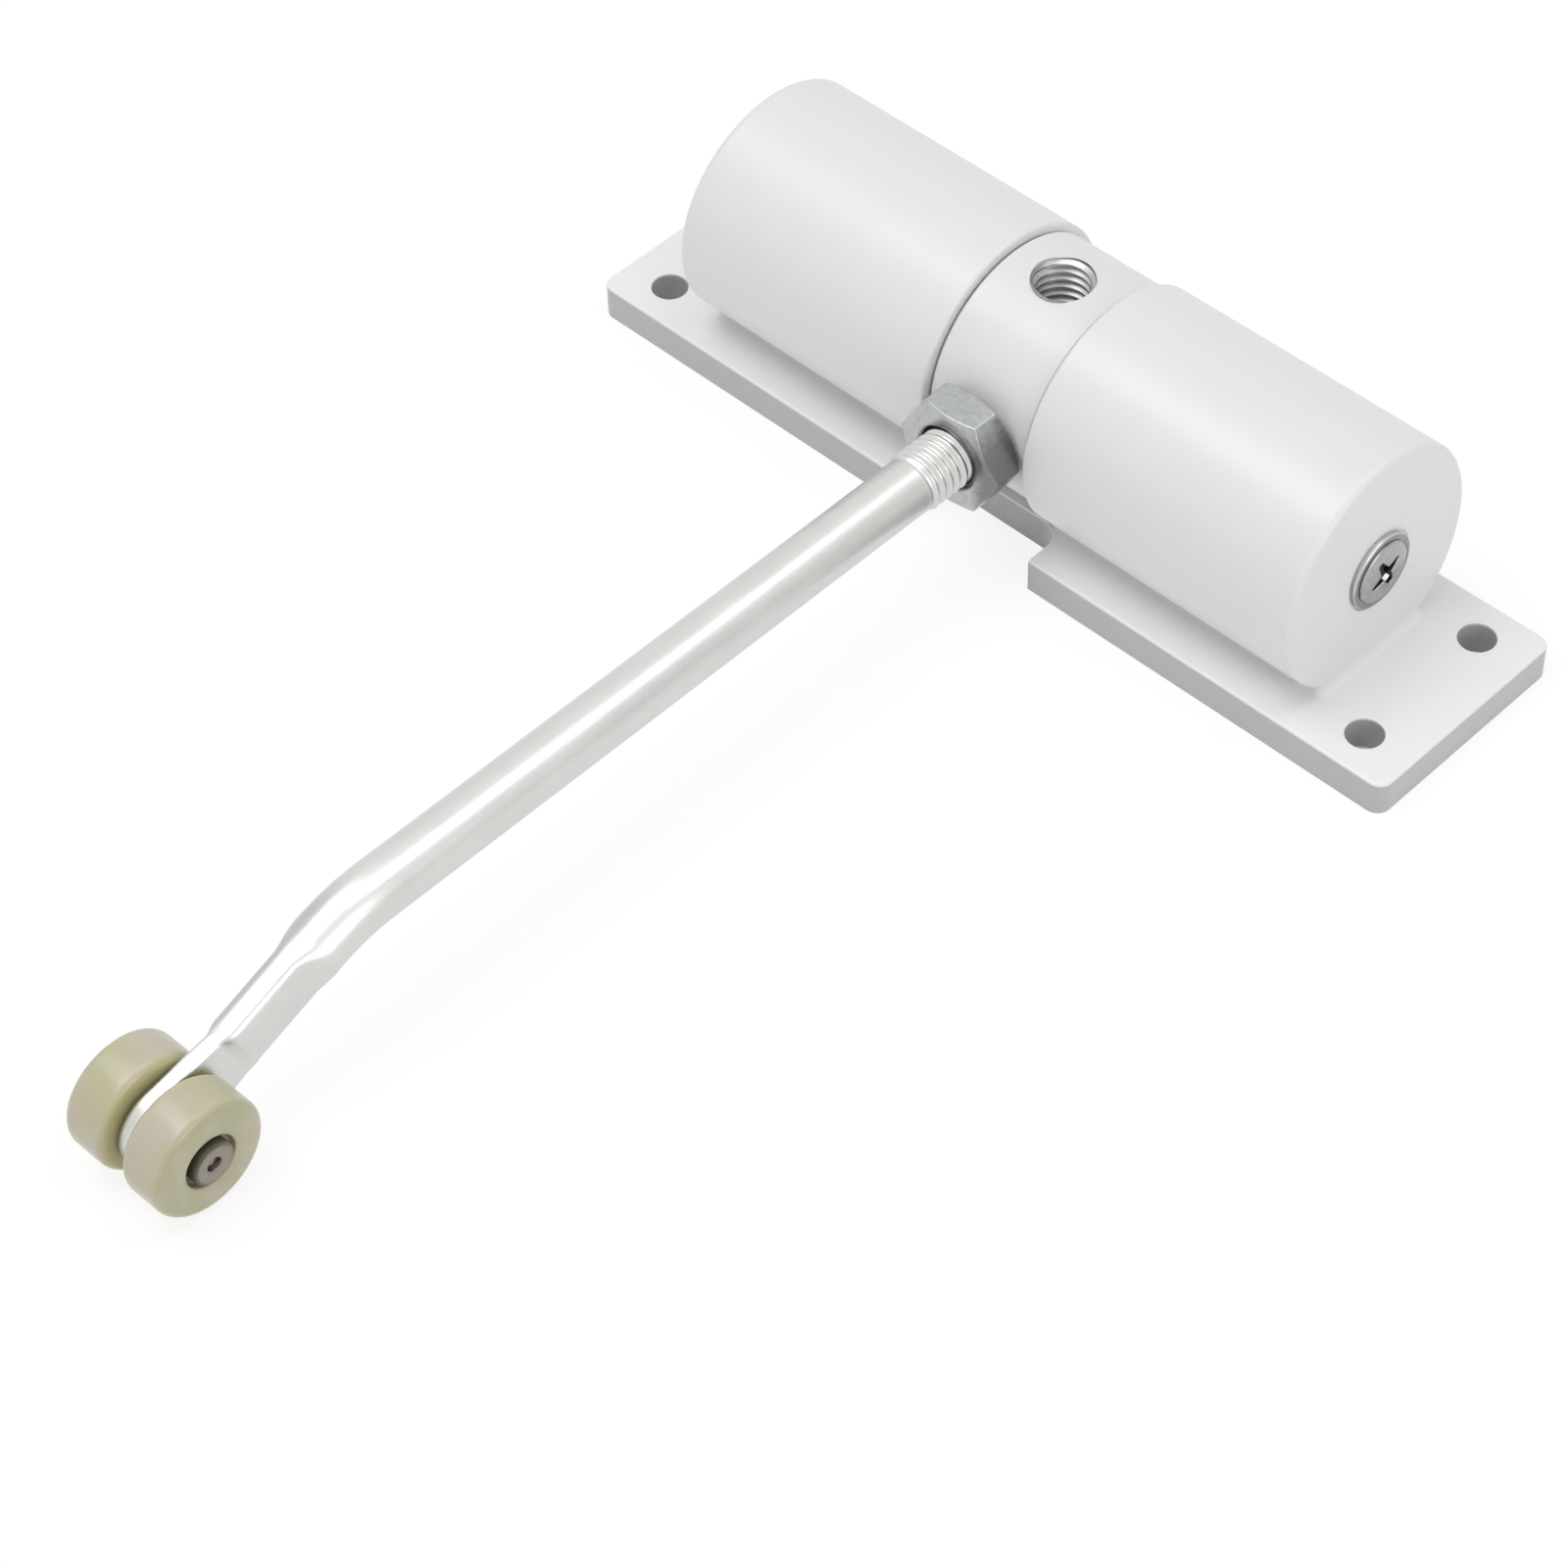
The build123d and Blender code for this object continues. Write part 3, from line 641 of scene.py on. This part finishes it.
def blade_edge(past, start, height, sizes):
    """Height of one edge of the blade, by distance from the pin.

    A straight line leaves the shoulder at a height and touches the circle round the pin.
    """
    far = np.hypot(sizes.blade_reach, height)
    turn = np.arctan2(height, sizes.blade_reach) + np.arccos(sizes.blade_end_radius / far)
    touch = -sizes.blade_end_radius * np.cos(turn)
    touch_height = sizes.blade_end_radius * np.sin(turn)
    line = height + (touch_height - height) * (past - start) / (touch - start)
    circle = np.sqrt(np.maximum(sizes.blade_end_radius ** 2 - past ** 2, 0))
    return np.where(past < touch, line, circle)


def arm_rows(sizes):
    """Arc lengths of the arm's rows, from the stud's inner end to the blade's tip.

    They lie close on the visible thread, on the forged part and, by a sine, round the tip. Gives
    the arc length at the pin as well.
    """
    shift = arm_route(np.zeros(1), sizes)[2][0]
    pin_length = np.hypot(AXIS_Z - PIN.z, -PIN.y - sizes.bend_corner) - shift
    oblong_length = 18 * MM
    forge = pin_length - sizes.blade_reach - sizes.shoulder_length - oblong_length
    thread_show = NUT_FRONT - 0.5 * MM
    thread_gone = sizes.thread_end + 0.5 * MM
    tip = np.sin(np.linspace(0, 1, 46) * pi / 2)[1:-1]
    rows = np.concatenate([
        np.linspace(STUD_START, thread_show, 60),
        np.linspace(thread_show, thread_gone, 96)[1:],
        np.linspace(thread_gone, forge, 40)[1:],
        np.linspace(forge, pin_length, 130)[1:],
        pin_length + sizes.blade_end_radius * tip,
    ])
    return rows, pin_length


def arm_grid(sizes):
    """The arm as one skin round its route.

    Near the barrel each section is a circle whose radius carries the thread. Past the bend it
    is |x / a| ** p + |h / b| ** p = 1, in polar form: the half width a, the half height b, which
    differs above and below, and the power p go from those of the rod to those of the oblong
    part, and over the shoulder to those of the blade with its round end. The upper left corner
    is forged rounder, with a lower power.
    """
    length, pin_length = arm_rows(sizes)
    angle = np.linspace(0, 2 * pi, 224, endpoint=False)[None, :]
    route, heading, distance = arm_route(length, sizes)
    along = length[:, None]
    past = along - pin_length
    crest = STUD_R - 0.02 * MM
    runout_length = 2.2 * MM
    wave = thread_wave(along / sizes.thread_pitch - angle / (2 * pi))
    runout = smooth(along, sizes.thread_end - runout_length, sizes.thread_end)
    thread = crest - sizes.thread_depth * (1 - wave)
    thread = thread * (1 - runout) + sizes.rod_radius * runout
    lead = smooth(along, length[0], length[0] + 1 * MM)
    thread = thread * lead + (crest - sizes.thread_depth) * (1 - lead)
    straight = sizes.bend_radius * np.tan(bend_angle(sizes) / 2)
    forged = smooth(distance[:, None], straight, straight + sizes.forge_ramp)
    blade_start = -sizes.blade_reach
    shoulder = smooth(past, blade_start - sizes.shoulder_length, blade_start)
    half_width = sizes.rod_radius + (sizes.forged_half_width - sizes.rod_radius) * forged
    half_width = half_width + (sizes.blade_half - sizes.forged_half_width) * shoulder
    oblong = sizes.rod_radius + (sizes.forged_half_height - sizes.rod_radius) * forged
    high = oblong + (sizes.blade_high - sizes.forged_half_height) * shoulder
    low = oblong + (sizes.blade_low - sizes.forged_half_height) * shoulder
    on_blade = past > blade_start
    high = np.where(on_blade, blade_edge(past, blade_start, sizes.blade_high, sizes), high)
    low = np.where(on_blade, blade_edge(past, blade_start, sizes.blade_low, sizes), low)
    power = 2 + 2.2 * forged + 5 * shoulder
    worn = (np.cos(angle) < 0) & (np.sin(angle) > 0)
    power = np.where(worn, 2 + 0.7 * forged + 2.5 * shoulder, power)
    wide = np.abs(np.cos(angle)) / half_width
    tall = np.abs(np.sin(angle)) / np.where(np.sin(angle) > 0, high, low)
    section = (wide ** power + tall ** power) ** (-1 / power)
    radius = np.where(along < sizes.thread_end, thread, section)
    height = radius * np.sin(angle)
    y = route[:, :1] + height * heading[:, 1:]
    z = route[:, 1:] - height * heading[:, :1]
    return np.stack([radius * np.cos(angle), y, z], -1)


def capped(grid):
    """Closes a grid at both ends with a row of one repeated point, the end row's centre."""
    first = np.broadcast_to(grid[0].mean(0), grid[:1].shape)
    last = np.broadcast_to(grid[-1].mean(0), grid[:1].shape)
    return np.concatenate([first, grid, last])


def nut_grid():
    """Hexagon nut about the arm's axis.

    The outside radius is the hexagon, a high power mean of its flats, cut by a cone at each
    face. The profile runs from the bore over one face, the outside and the other face. The
    inner rows give the countersink, each by its radius and how far it is sunk.
    """
    angle = np.linspace(0, 2 * pi, 288, endpoint=False)[None, :]
    sharpness = 90
    chamfer = 1.3 * MM
    softness = 0.22 * MM
    flats = np.arange(6)[:, None, None] * pi / 3 + pi / 2
    reach = np.maximum(np.cos(angle[None] - flats), 0) / (NUT_FLATS / 2)
    hexagon = (reach ** sharpness).sum(0) ** (-1 / sharpness)
    thick = NUT_FRONT - NUT_BACK
    bore = STUD_R + 0.05 * MM
    face = 8.1 * MM
    slope = np.tan(pi / 6)
    depth = np.concatenate([
        np.linspace(0, chamfer, 22), np.linspace(chamfer + 0.1 * MM, thick / 2, 5)])
    cone = face + depth[:, None] / slope
    flat_sides = np.broadcast_to(hexagon, (len(depth), hexagon.shape[1]))
    outside = soft_least(flat_sides, cone, softness)
    ones = np.ones((1, hexagon.shape[1]))
    inner = np.array([
        bore, bore, bore + 0.1 * MM, bore + 0.75 * MM, bore + 0.85 * MM, face - 0.3 * MM])
    sunk = np.array([thick / 2, 0.8 * MM, 0.65 * MM, 0.06 * MM, 0.0, 0.0])
    half_radius = np.concatenate([inner[:, None] * ones, outside])
    half_depth = np.concatenate([sunk, depth])
    radius = np.concatenate([half_radius, half_radius[::-1][1:]])
    place = np.concatenate([NUT_BACK + half_depth, (NUT_FRONT - half_depth)[::-1][1:]])
    place = np.broadcast_to(place[:, None], radius.shape)
    return np.stack([radius * np.cos(angle), -place, AXIS_Z + radius * np.sin(angle)], -1)


def roller_grid(side, sizes):
    """Roller: a closed profile turned about the pin, with rounded rims and a recess."""
    bore = PIN_HEAD_R - 0.67 * MM
    recess = 4.3 * MM
    floor = ROLLER_FACE - 1.5 * MM
    rim = sizes.roller_round
    seam = ((ROLLER_BACK + ROLLER_FACE) / 2, bore)
    corners = [
        seam, (ROLLER_BACK, bore), (ROLLER_BACK, ROLLER_R), (ROLLER_FACE, ROLLER_R),
        (ROLLER_FACE, recess), (floor, recess), (floor, bore), seam]
    edge = 0.15 * MM
    profile = rounded(corners, [0, 0.2 * MM, rim, rim, 2 * edge, edge, edge, 0], 9)
    profile[:, 0] *= side
    return turned(profile, sizes.columns, PIN)


def pin_grid():
    """Roller pin: shank, two heads with softened rims, and a drilled hollow in each end.

    The heads stand prouder of the rollers than the solid's, as in the photograph.
    """
    shank = PIN_HEAD_R - 0.75 * MM
    under = 8.35 * MM
    hollow = 1.2 * MM
    hollow_end = hollow * 0.8
    end = PIN_HALF + 0.9 * MM
    corners = [
        (0, shank), (under, shank), (under, PIN_HEAD_R), (end, PIN_HEAD_R),
        (end, hollow), (end - 1.1 * MM, hollow_end), (end - 1.5 * MM, 0)]
    half = rounded(corners, [0, 0.05 * MM, 0.1 * MM, 0.45 * MM, 0.25 * MM, 0.3 * MM, 0], 7)
    mirrored = half[::-1][:-1] * np.array([-1, 1])
    return turned(np.concatenate([mirrored, half]), 96, PIN)


def cross_depth(y, z, sizes):
    """Depth of the cross recess: two crossed slots with sloping floors and soft walls.

    Each slot narrows outwards, and the depth falls off from the middle to the slots' ends.
    """
    turn = sizes.cross_turn
    first = y * np.cos(turn) + z * np.sin(turn)
    second = z * np.cos(turn) - y * np.sin(turn)
    wall = 0.09 * MM
    half_width = sizes.cross_width / 2
    half_length = sizes.cross_length / 2
    slots = []
    for along, across in ((first, second), (second, first)):
        taper = half_width * (1.3 - 0.8 * np.abs(along) / half_length)
        beside = smooth(taper - np.abs(across), -wall, wall)
        before = smooth(half_length - np.abs(along), -wall, wall)
        slots.append(beside * before)
    reach = np.hypot(y, z) / half_length
    deepest = 1.9 * MM
    return deepest * np.maximum(*slots) * np.clip(1.05 - 0.5 * reach, 0, 1)


def end_screw_grid(side, sizes):
    """End screw: shank and rim, then a low domed face sunk by the cross recess.

    A face of radius R that rises by h lies on a sphere of radius (R * R + h * h) / 2 h. Gives
    the grid and each point's depth in the recess, in millimetres.
    """
    top = WASHER_FACE + sizes.head_rise
    rim = WASHER_FACE + sizes.head_rim
    shank = 2.4 * MM
    shank_length = 6 * MM
    inside = WASHER_FACE - shank_length
    rise = top - rim
    dome = (SCREW_HEAD_R ** 2 + rise ** 2) / (2 * rise)
    edge = 0.35 * MM
    base = rounded(
        [(inside, 0), (inside, shank), (WASHER_FACE, shank), (WASHER_FACE, SCREW_HEAD_R),
         (rim, SCREW_HEAD_R)],
        [0, 0, 0, 0.1 * MM, 0], 4)
    radius = np.linspace(SCREW_HEAD_R, 0, 120)
    x = top - dome + np.sqrt(dome ** 2 - radius ** 2)
    x = x - edge * (1 - smooth(SCREW_HEAD_R - radius, 0, edge)) * 0.5
    profile = np.concatenate([base, np.stack([x, radius], -1)[1:]])
    grid = turned(profile, 288, (0, 0, AXIS_Z))
    sunk = cross_depth(grid[..., 1], grid[..., 2] - AXIS_Z, sizes)
    sunk[:len(base)] = 0
    grid[..., 0] -= sunk
    grid[..., 0] *= side
    return grid, sunk.ravel() / MM


def washer_grid(side, sizes):
    """Plain washer with rolled edges, turned about the barrel's axis."""
    low = WASHER_FACE - 1 * MM
    bore = 2.7 * MM
    seam = ((low + WASHER_FACE) / 2, bore)
    corners = [
        seam, (low, bore), (low, WASHER_R), (WASHER_FACE, WASHER_R), (WASHER_FACE, bore), seam]
    edge = 0.1 * MM
    rolled = 0.3 * MM
    profile = rounded(corners, [0, edge, edge, rolled, edge, 0], 6)
    profile[:, 0] *= side
    return turned(profile, sizes.columns, (0, 0, AXIS_Z))


def socket_thread_grid(turn, sizes):
    """Thread inside one of the barrel's sockets.

    The inner skin's radius is the wall less the thread's height, and its top row follows the
    barrel's round surface, at the root of R * R - x * x. The outer skin lies just inside the CAD
    wall, so the ring is closed. It is made upright and then turned about the barrel's axis.
    """
    wall = 4.985 * MM
    floor = 8.62 * MM
    angle = np.linspace(0, 2 * pi, sizes.columns, endpoint=False)[None, :]
    share = np.linspace(0, 1, 130)[:, None]
    mouth = np.sqrt(BARREL_R ** 2 - (wall * np.cos(angle)) ** 2) - 0.05 * MM
    height = floor + (mouth - floor) * share
    wave = thread_wave(height / sizes.thread_pitch - angle / (2 * pi))
    tooth_height = 0.82 * MM
    tooth = tooth_height * wave * smooth(mouth - height, 0.05 * MM, 0.7 * MM)
    inner = wall - 0.03 * MM - tooth
    outer = np.full_like(inner, wall)
    skin = np.stack([inner * np.cos(angle), inner * np.sin(angle), height], -1)
    back = np.stack([outer * np.cos(angle), outer * np.sin(angle), height], -1)
    ring = np.concatenate([skin, back[::-1], skin[:1]])
    x, y, z = np.moveaxis(ring, -1, 0)
    turned_y = z * np.sin(turn) + y * np.cos(turn)
    turned_z = z * np.cos(turn) - y * np.sin(turn)
    return np.stack([x, turned_y, turned_z + AXIS_Z], -1)


def dress_node(node, finish):
    """Gives a CAD node that stays in view a finish of its own."""
    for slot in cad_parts[node].material_slots:
        slot.material = finish


def wound_spring(side, finish):
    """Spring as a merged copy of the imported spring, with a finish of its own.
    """
    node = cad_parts[side + "_spring"]
    mesh = node.data.copy()
    shell = bmesh.new()
    shell.from_mesh(mesh)
    bmesh.ops.remove_doubles(shell, verts=shell.verts, dist=MERGE)
    shell.to_mesh(mesh)
    shell.free()
    mesh.materials.clear()
    mesh.materials.append(finish)
    mesh.shade_smooth()
    piece = bpy.data.objects.new("torsion_spring_" + side, mesh)
    bpy.context.scene.collection.objects.link(piece)
    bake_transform(piece)
    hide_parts(side + "_spring")


class CLOSER_OT_housing(bpy.types.Operator):
    """Paint the housing and the barrel"""

    bl_idname = "closer.housing"
    bl_label = "Housing and barrel"

    def execute(self, context):
        finish = context.scene.closer_finish
        wall_top = PLATE_TOP - 0.1 * MM
        dress_node("housing", paint_finish("white_paint", tuple(finish.paint), wall_top))
        dress_node("barrel", paint_finish("barrel_paint", shade(finish.paint, 0.985), 0.0))
        return {"FINISHED"}


class CLOSER_OT_inner(bpy.types.Operator):
    """Finish the spindle, the springs and the sleeves inside the housing"""

    bl_idname = "closer.inner"
    bl_label = "Spindle, springs and sleeves"

    def execute(self, context):
        finish = context.scene.closer_finish
        dress_node("spindle", steel_finish("spindle_steel", tuple(finish.spindle), 0.28))
        spring = steel_finish("spring_wire", tuple(finish.spring), 0.34)
        sleeve = sleeve_finish("sleeve_plastic", tuple(finish.sleeve))
        for side in ("left", "right"):
            wound_spring(side, spring)
            dress_node(side + "_sleeve", sleeve)
        return {"FINISHED"}


class CLOSER_OT_sockets(bpy.types.Operator):
    """Cut threads into the barrel's empty sockets"""

    bl_idname = "closer.sockets"
    bl_label = "Socket threads"

    def execute(self, context):
        sizes = context.scene.closer_sizes
        metal = steel_finish("socket_steel", tuple(context.scene.closer_finish.socket), 0.30)
        for name, turn in (("top", 0.0), ("back", pi / 2), ("bottom", pi)):
            grid = socket_thread_grid(turn, sizes)
            piece_from(name + "_socket_thread", [grid], metal, "arm")
        return {"FINISHED"}


class CLOSER_OT_arm(bpy.types.Operator):
    """Build the arm with its rolled thread, bend and forged blade"""

    bl_idname = "closer.arm"
    bl_label = "Arm"

    def execute(self, context):
        sizes = context.scene.closer_sizes
        finish = arm_finish("arm_plating", tuple(context.scene.closer_finish.arm))
        piece_from("bent_arm", [capped(arm_grid(sizes))], finish, "arm", ("arm",))
        return {"FINISHED"}


class CLOSER_OT_nut(bpy.types.Operator):
    """Build the lock nut"""

    bl_idname = "closer.nut"
    bl_label = "Lock nut"

    def execute(self, context):
        zinc = tuple(context.scene.closer_finish.zinc)
        finish = zinc_finish("nut_zinc", shade(zinc, 1.2), ring=STUD_R + 0.9 * MM)
        piece_from("hexagon_nut", [nut_grid()], finish, "arm", ("lock_nut",))
        return {"FINISHED"}


class CLOSER_OT_rollers(bpy.types.Operator):
    """Build the two rollers and their pin"""

    bl_idname = "closer.rollers"
    bl_label = "Rollers and pin"

    def execute(self, context):
        sizes = context.scene.closer_sizes
        finish = context.scene.closer_finish
        nylon = nylon_finish("roller_nylon", tuple(finish.nylon))
        for name, side in (("right", 1), ("left", -1)):
            node = name + "_roller"
            grid = roller_grid(side, sizes)
            piece_from(name + "_nylon_roller", [grid], nylon, node, (node,))
        rivet = rivet_finish("rivet_steel", tuple(finish.rivet))
        piece_from("rivet_pin", [pin_grid()], rivet, "arm", ("roller_pin",))
        return {"FINISHED"}


class CLOSER_OT_end_screws(bpy.types.Operator):
    """Build the end screws and their washers"""

    bl_idname = "closer.end_screws"
    bl_label = "End screws and washers"

    def execute(self, context):
        sizes = context.scene.closer_sizes
        zinc = tuple(context.scene.closer_finish.zinc)
        screw = zinc_finish("screw_zinc", shade(zinc, 1.08), recess=True)
        washer = zinc_finish("washer_zinc", shade(zinc, 0.75), rim=WASHER_R - 0.22 * MM)
        right, right_depth = end_screw_grid(1, sizes)
        left, left_depth = end_screw_grid(-1, sizes)
        depths = np.concatenate([right_depth, left_depth])
        screws = [right, left]
        piece_from("cross_screws", screws, screw, "housing", ("end_screws",), depths)
        washers = [washer_grid(1, sizes), washer_grid(-1, sizes)]
        piece_from("plain_washers", washers, washer, "housing", ("end_washers",))
        return {"FINISHED"}


def stage_finish(name, tint, glow):
    """Pale matt floor that keeps shadows and looks white to the camera.

    Below the plate's screw holes it doesn't glow, so the holes look as dark as they are.
    """
    finish = Finish(name)
    cloud = finish.noise(finish.place(), 0.2, 3.0)
    base = finish.mix(cloud, shade(tint, 0.99), tint)
    matt = finish.node("ShaderNodeBsdfDiffuse", {}, {"Color": base})
    white = finish.node("ShaderNodeEmission", {}, {"Color": WHITE, "Strength": 1.04})
    seen = finish.ray("Camera") + finish.ray("Glossy") + finish.ray("Transmission")
    x, y, _ = finish.split(finish.place())
    along = finish.size(x)
    holes = (along > HOLES_NEAR) * (along < HOLES_FAR) * (finish.size(y) < HOLES_SIDE)
    share = seen * glow * (1 - holes)
    mixed = finish.node("ShaderNodeMixShader", {}, {0: share, 1: matt, 2: white})
    return finish.end(mixed)


def area_lamp(name, place, aim, size, power):
    """Square soft lamp at a place, facing its aim."""
    lamp = bpy.data.lights.new(name, "AREA")
    lamp.size = size
    lamp.energy = power
    made = bpy.data.objects.new(name, lamp)
    bpy.context.scene.collection.objects.link(made)
    made.location = place
    made.rotation_euler = (Vector(aim) - Vector(place)).to_track_quat("-Z", "Y").to_euler()


class CLOSER_OT_stage(bpy.types.Operator):
    """Set the floor, the lamps, the even light and the camera"""

    bl_idname = "closer.stage"
    bl_label = "Stage"

    def execute(self, context):
        studio = context.scene.closer_studio
        self.make_floor(studio)
        self.make_lamps(studio)
        self.make_sky(studio)
        self.make_camera(studio)
        context.scene.view_settings.view_transform = "Standard"
        return {"FINISHED"}

    def make_floor(self, studio):
        """Wide square of pale paper at the plate's underside."""
        reach = 6.0
        mesh = bpy.data.meshes.new("floor")
        corners = [(-reach, -reach, 0), (reach, -reach, 0), (reach, reach, 0), (-reach, reach, 0)]
        mesh.from_pydata(corners, [], [(0, 1, 2, 3)])
        paper = stage_finish("floor_paper", tuple(studio.floor_colour), studio.floor_glow)
        mesh.materials.append(paper)
        floor = bpy.data.objects.new("floor", mesh)
        bpy.context.scene.collection.objects.link(floor)

    def make_lamps(self, studio):
        """Four soft lamps, all aimed near the closer's middle."""
        low = (0, -0.05, 0)
        high = (0, -0.05, 0.02)
        area_lamp("key_lamp", (-0.26, -0.45, 1.32), low, 0.8, studio.key_power)
        area_lamp("glint_lamp", (-0.74, -0.2, 1.2), low, 0.5, studio.glint_power)
        area_lamp("top_lamp", (0.28, 0.35, 1.27), low, 0.5, studio.top_power)
        area_lamp("side_lamp", (1.35, -0.2, 0.65), high, 0.9, studio.side_power)

    def make_sky(self, studio):
        """Even light all round, which the camera and gloss see as white.

        Low down at the right a part of it is grey, for gloss and metal alone.
        """
        sky = Finish("studio", "worlds")
        glossy = sky.ray("Glossy")
        seen = sky.node("ShaderNodeMath", {"operation": "ADD", "use_clamp": True}, {
            0: sky.ray("Camera") + glossy, 1: sky.ray("Transmission")})
        way = sky.node("ShaderNodeTexCoord", output="Generated")
        facing = sky.node(
            "ShaderNodeVectorMath", {"operation": "DOT_PRODUCT"}, {0: way, 1: WALL_WAY}, "Value")
        wall = sky.step(facing, WALL_EDGE, WALL_FULL) * studio.wall_grey
        strength = sky.node("ShaderNodeMapRange", {}, {
            "Value": seen, "To Min": studio.fill, "To Max": 1.0 - wall * glossy})
        light = sky.node("ShaderNodeBackground", {}, {"Color": WHITE, "Strength": strength})
        bpy.context.scene.world = sky.end(light, "ShaderNodeOutputWorld")

    def make_camera(self, studio):
        """Camera where the one that took the photograph stood, by a fit to it."""
        camera = bpy.data.cameras.new("camera")
        camera.sensor_width = SENSOR_WIDTH
        camera.lens = studio.lens
        made = bpy.data.objects.new("camera", camera)
        bpy.context.scene.collection.objects.link(made)
        forward = Vector(studio.camera_forward).normalized()
        right = Vector(studio.camera_right)
        right = (right - forward * right.dot(forward)).normalized()
        up = right.cross(forward)
        turn = Matrix((right, up, -forward)).transposed().to_4x4()
        made.matrix_world = Matrix.Translation(Vector(studio.camera_place)) @ turn
        bpy.context.scene.camera = made


class CLOSER_PT_panel(bpy.types.Panel):
    """Lists the closer's pieces"""

    bl_idname = "CLOSER_PT_panel"
    bl_label = "Spring door closer"
    bl_space_type = "VIEW_3D"
    bl_region_type = "UI"
    bl_category = "Closer"

    def draw(self, context):
        for operator in OPERATORS:
            self.layout.operator(operator.bl_idname, text=operator.bl_label)


OPERATORS = (
    CLOSER_OT_housing,
    CLOSER_OT_inner,
    CLOSER_OT_sockets,
    CLOSER_OT_arm,
    CLOSER_OT_nut,
    CLOSER_OT_rollers,
    CLOSER_OT_end_screws,
    CLOSER_OT_stage,
)
CLASSES = (CloserSizes, CloserFinish, StudioSettings, *OPERATORS, CLOSER_PT_panel)


def register():
    for made in CLASSES:
        bpy.utils.register_class(made)
    bpy.types.Scene.closer_sizes = PointerProperty(type=CloserSizes)
    bpy.types.Scene.closer_finish = PointerProperty(type=CloserFinish)
    bpy.types.Scene.closer_studio = PointerProperty(type=StudioSettings)


def unregister():
    del bpy.types.Scene.closer_studio
    del bpy.types.Scene.closer_finish
    del bpy.types.Scene.closer_sizes
    for made in reversed(CLASSES):
        bpy.utils.unregister_class(made)


def main():
    """Registers the add-on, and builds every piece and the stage."""
    register()
    bpy.ops.closer.housing()
    bpy.ops.closer.inner()
    bpy.ops.closer.sockets()
    bpy.ops.closer.arm()
    bpy.ops.closer.nut()
    bpy.ops.closer.rollers()
    bpy.ops.closer.end_screws()
    bpy.ops.closer.stage()


if __name__ == "__main__":
    main()
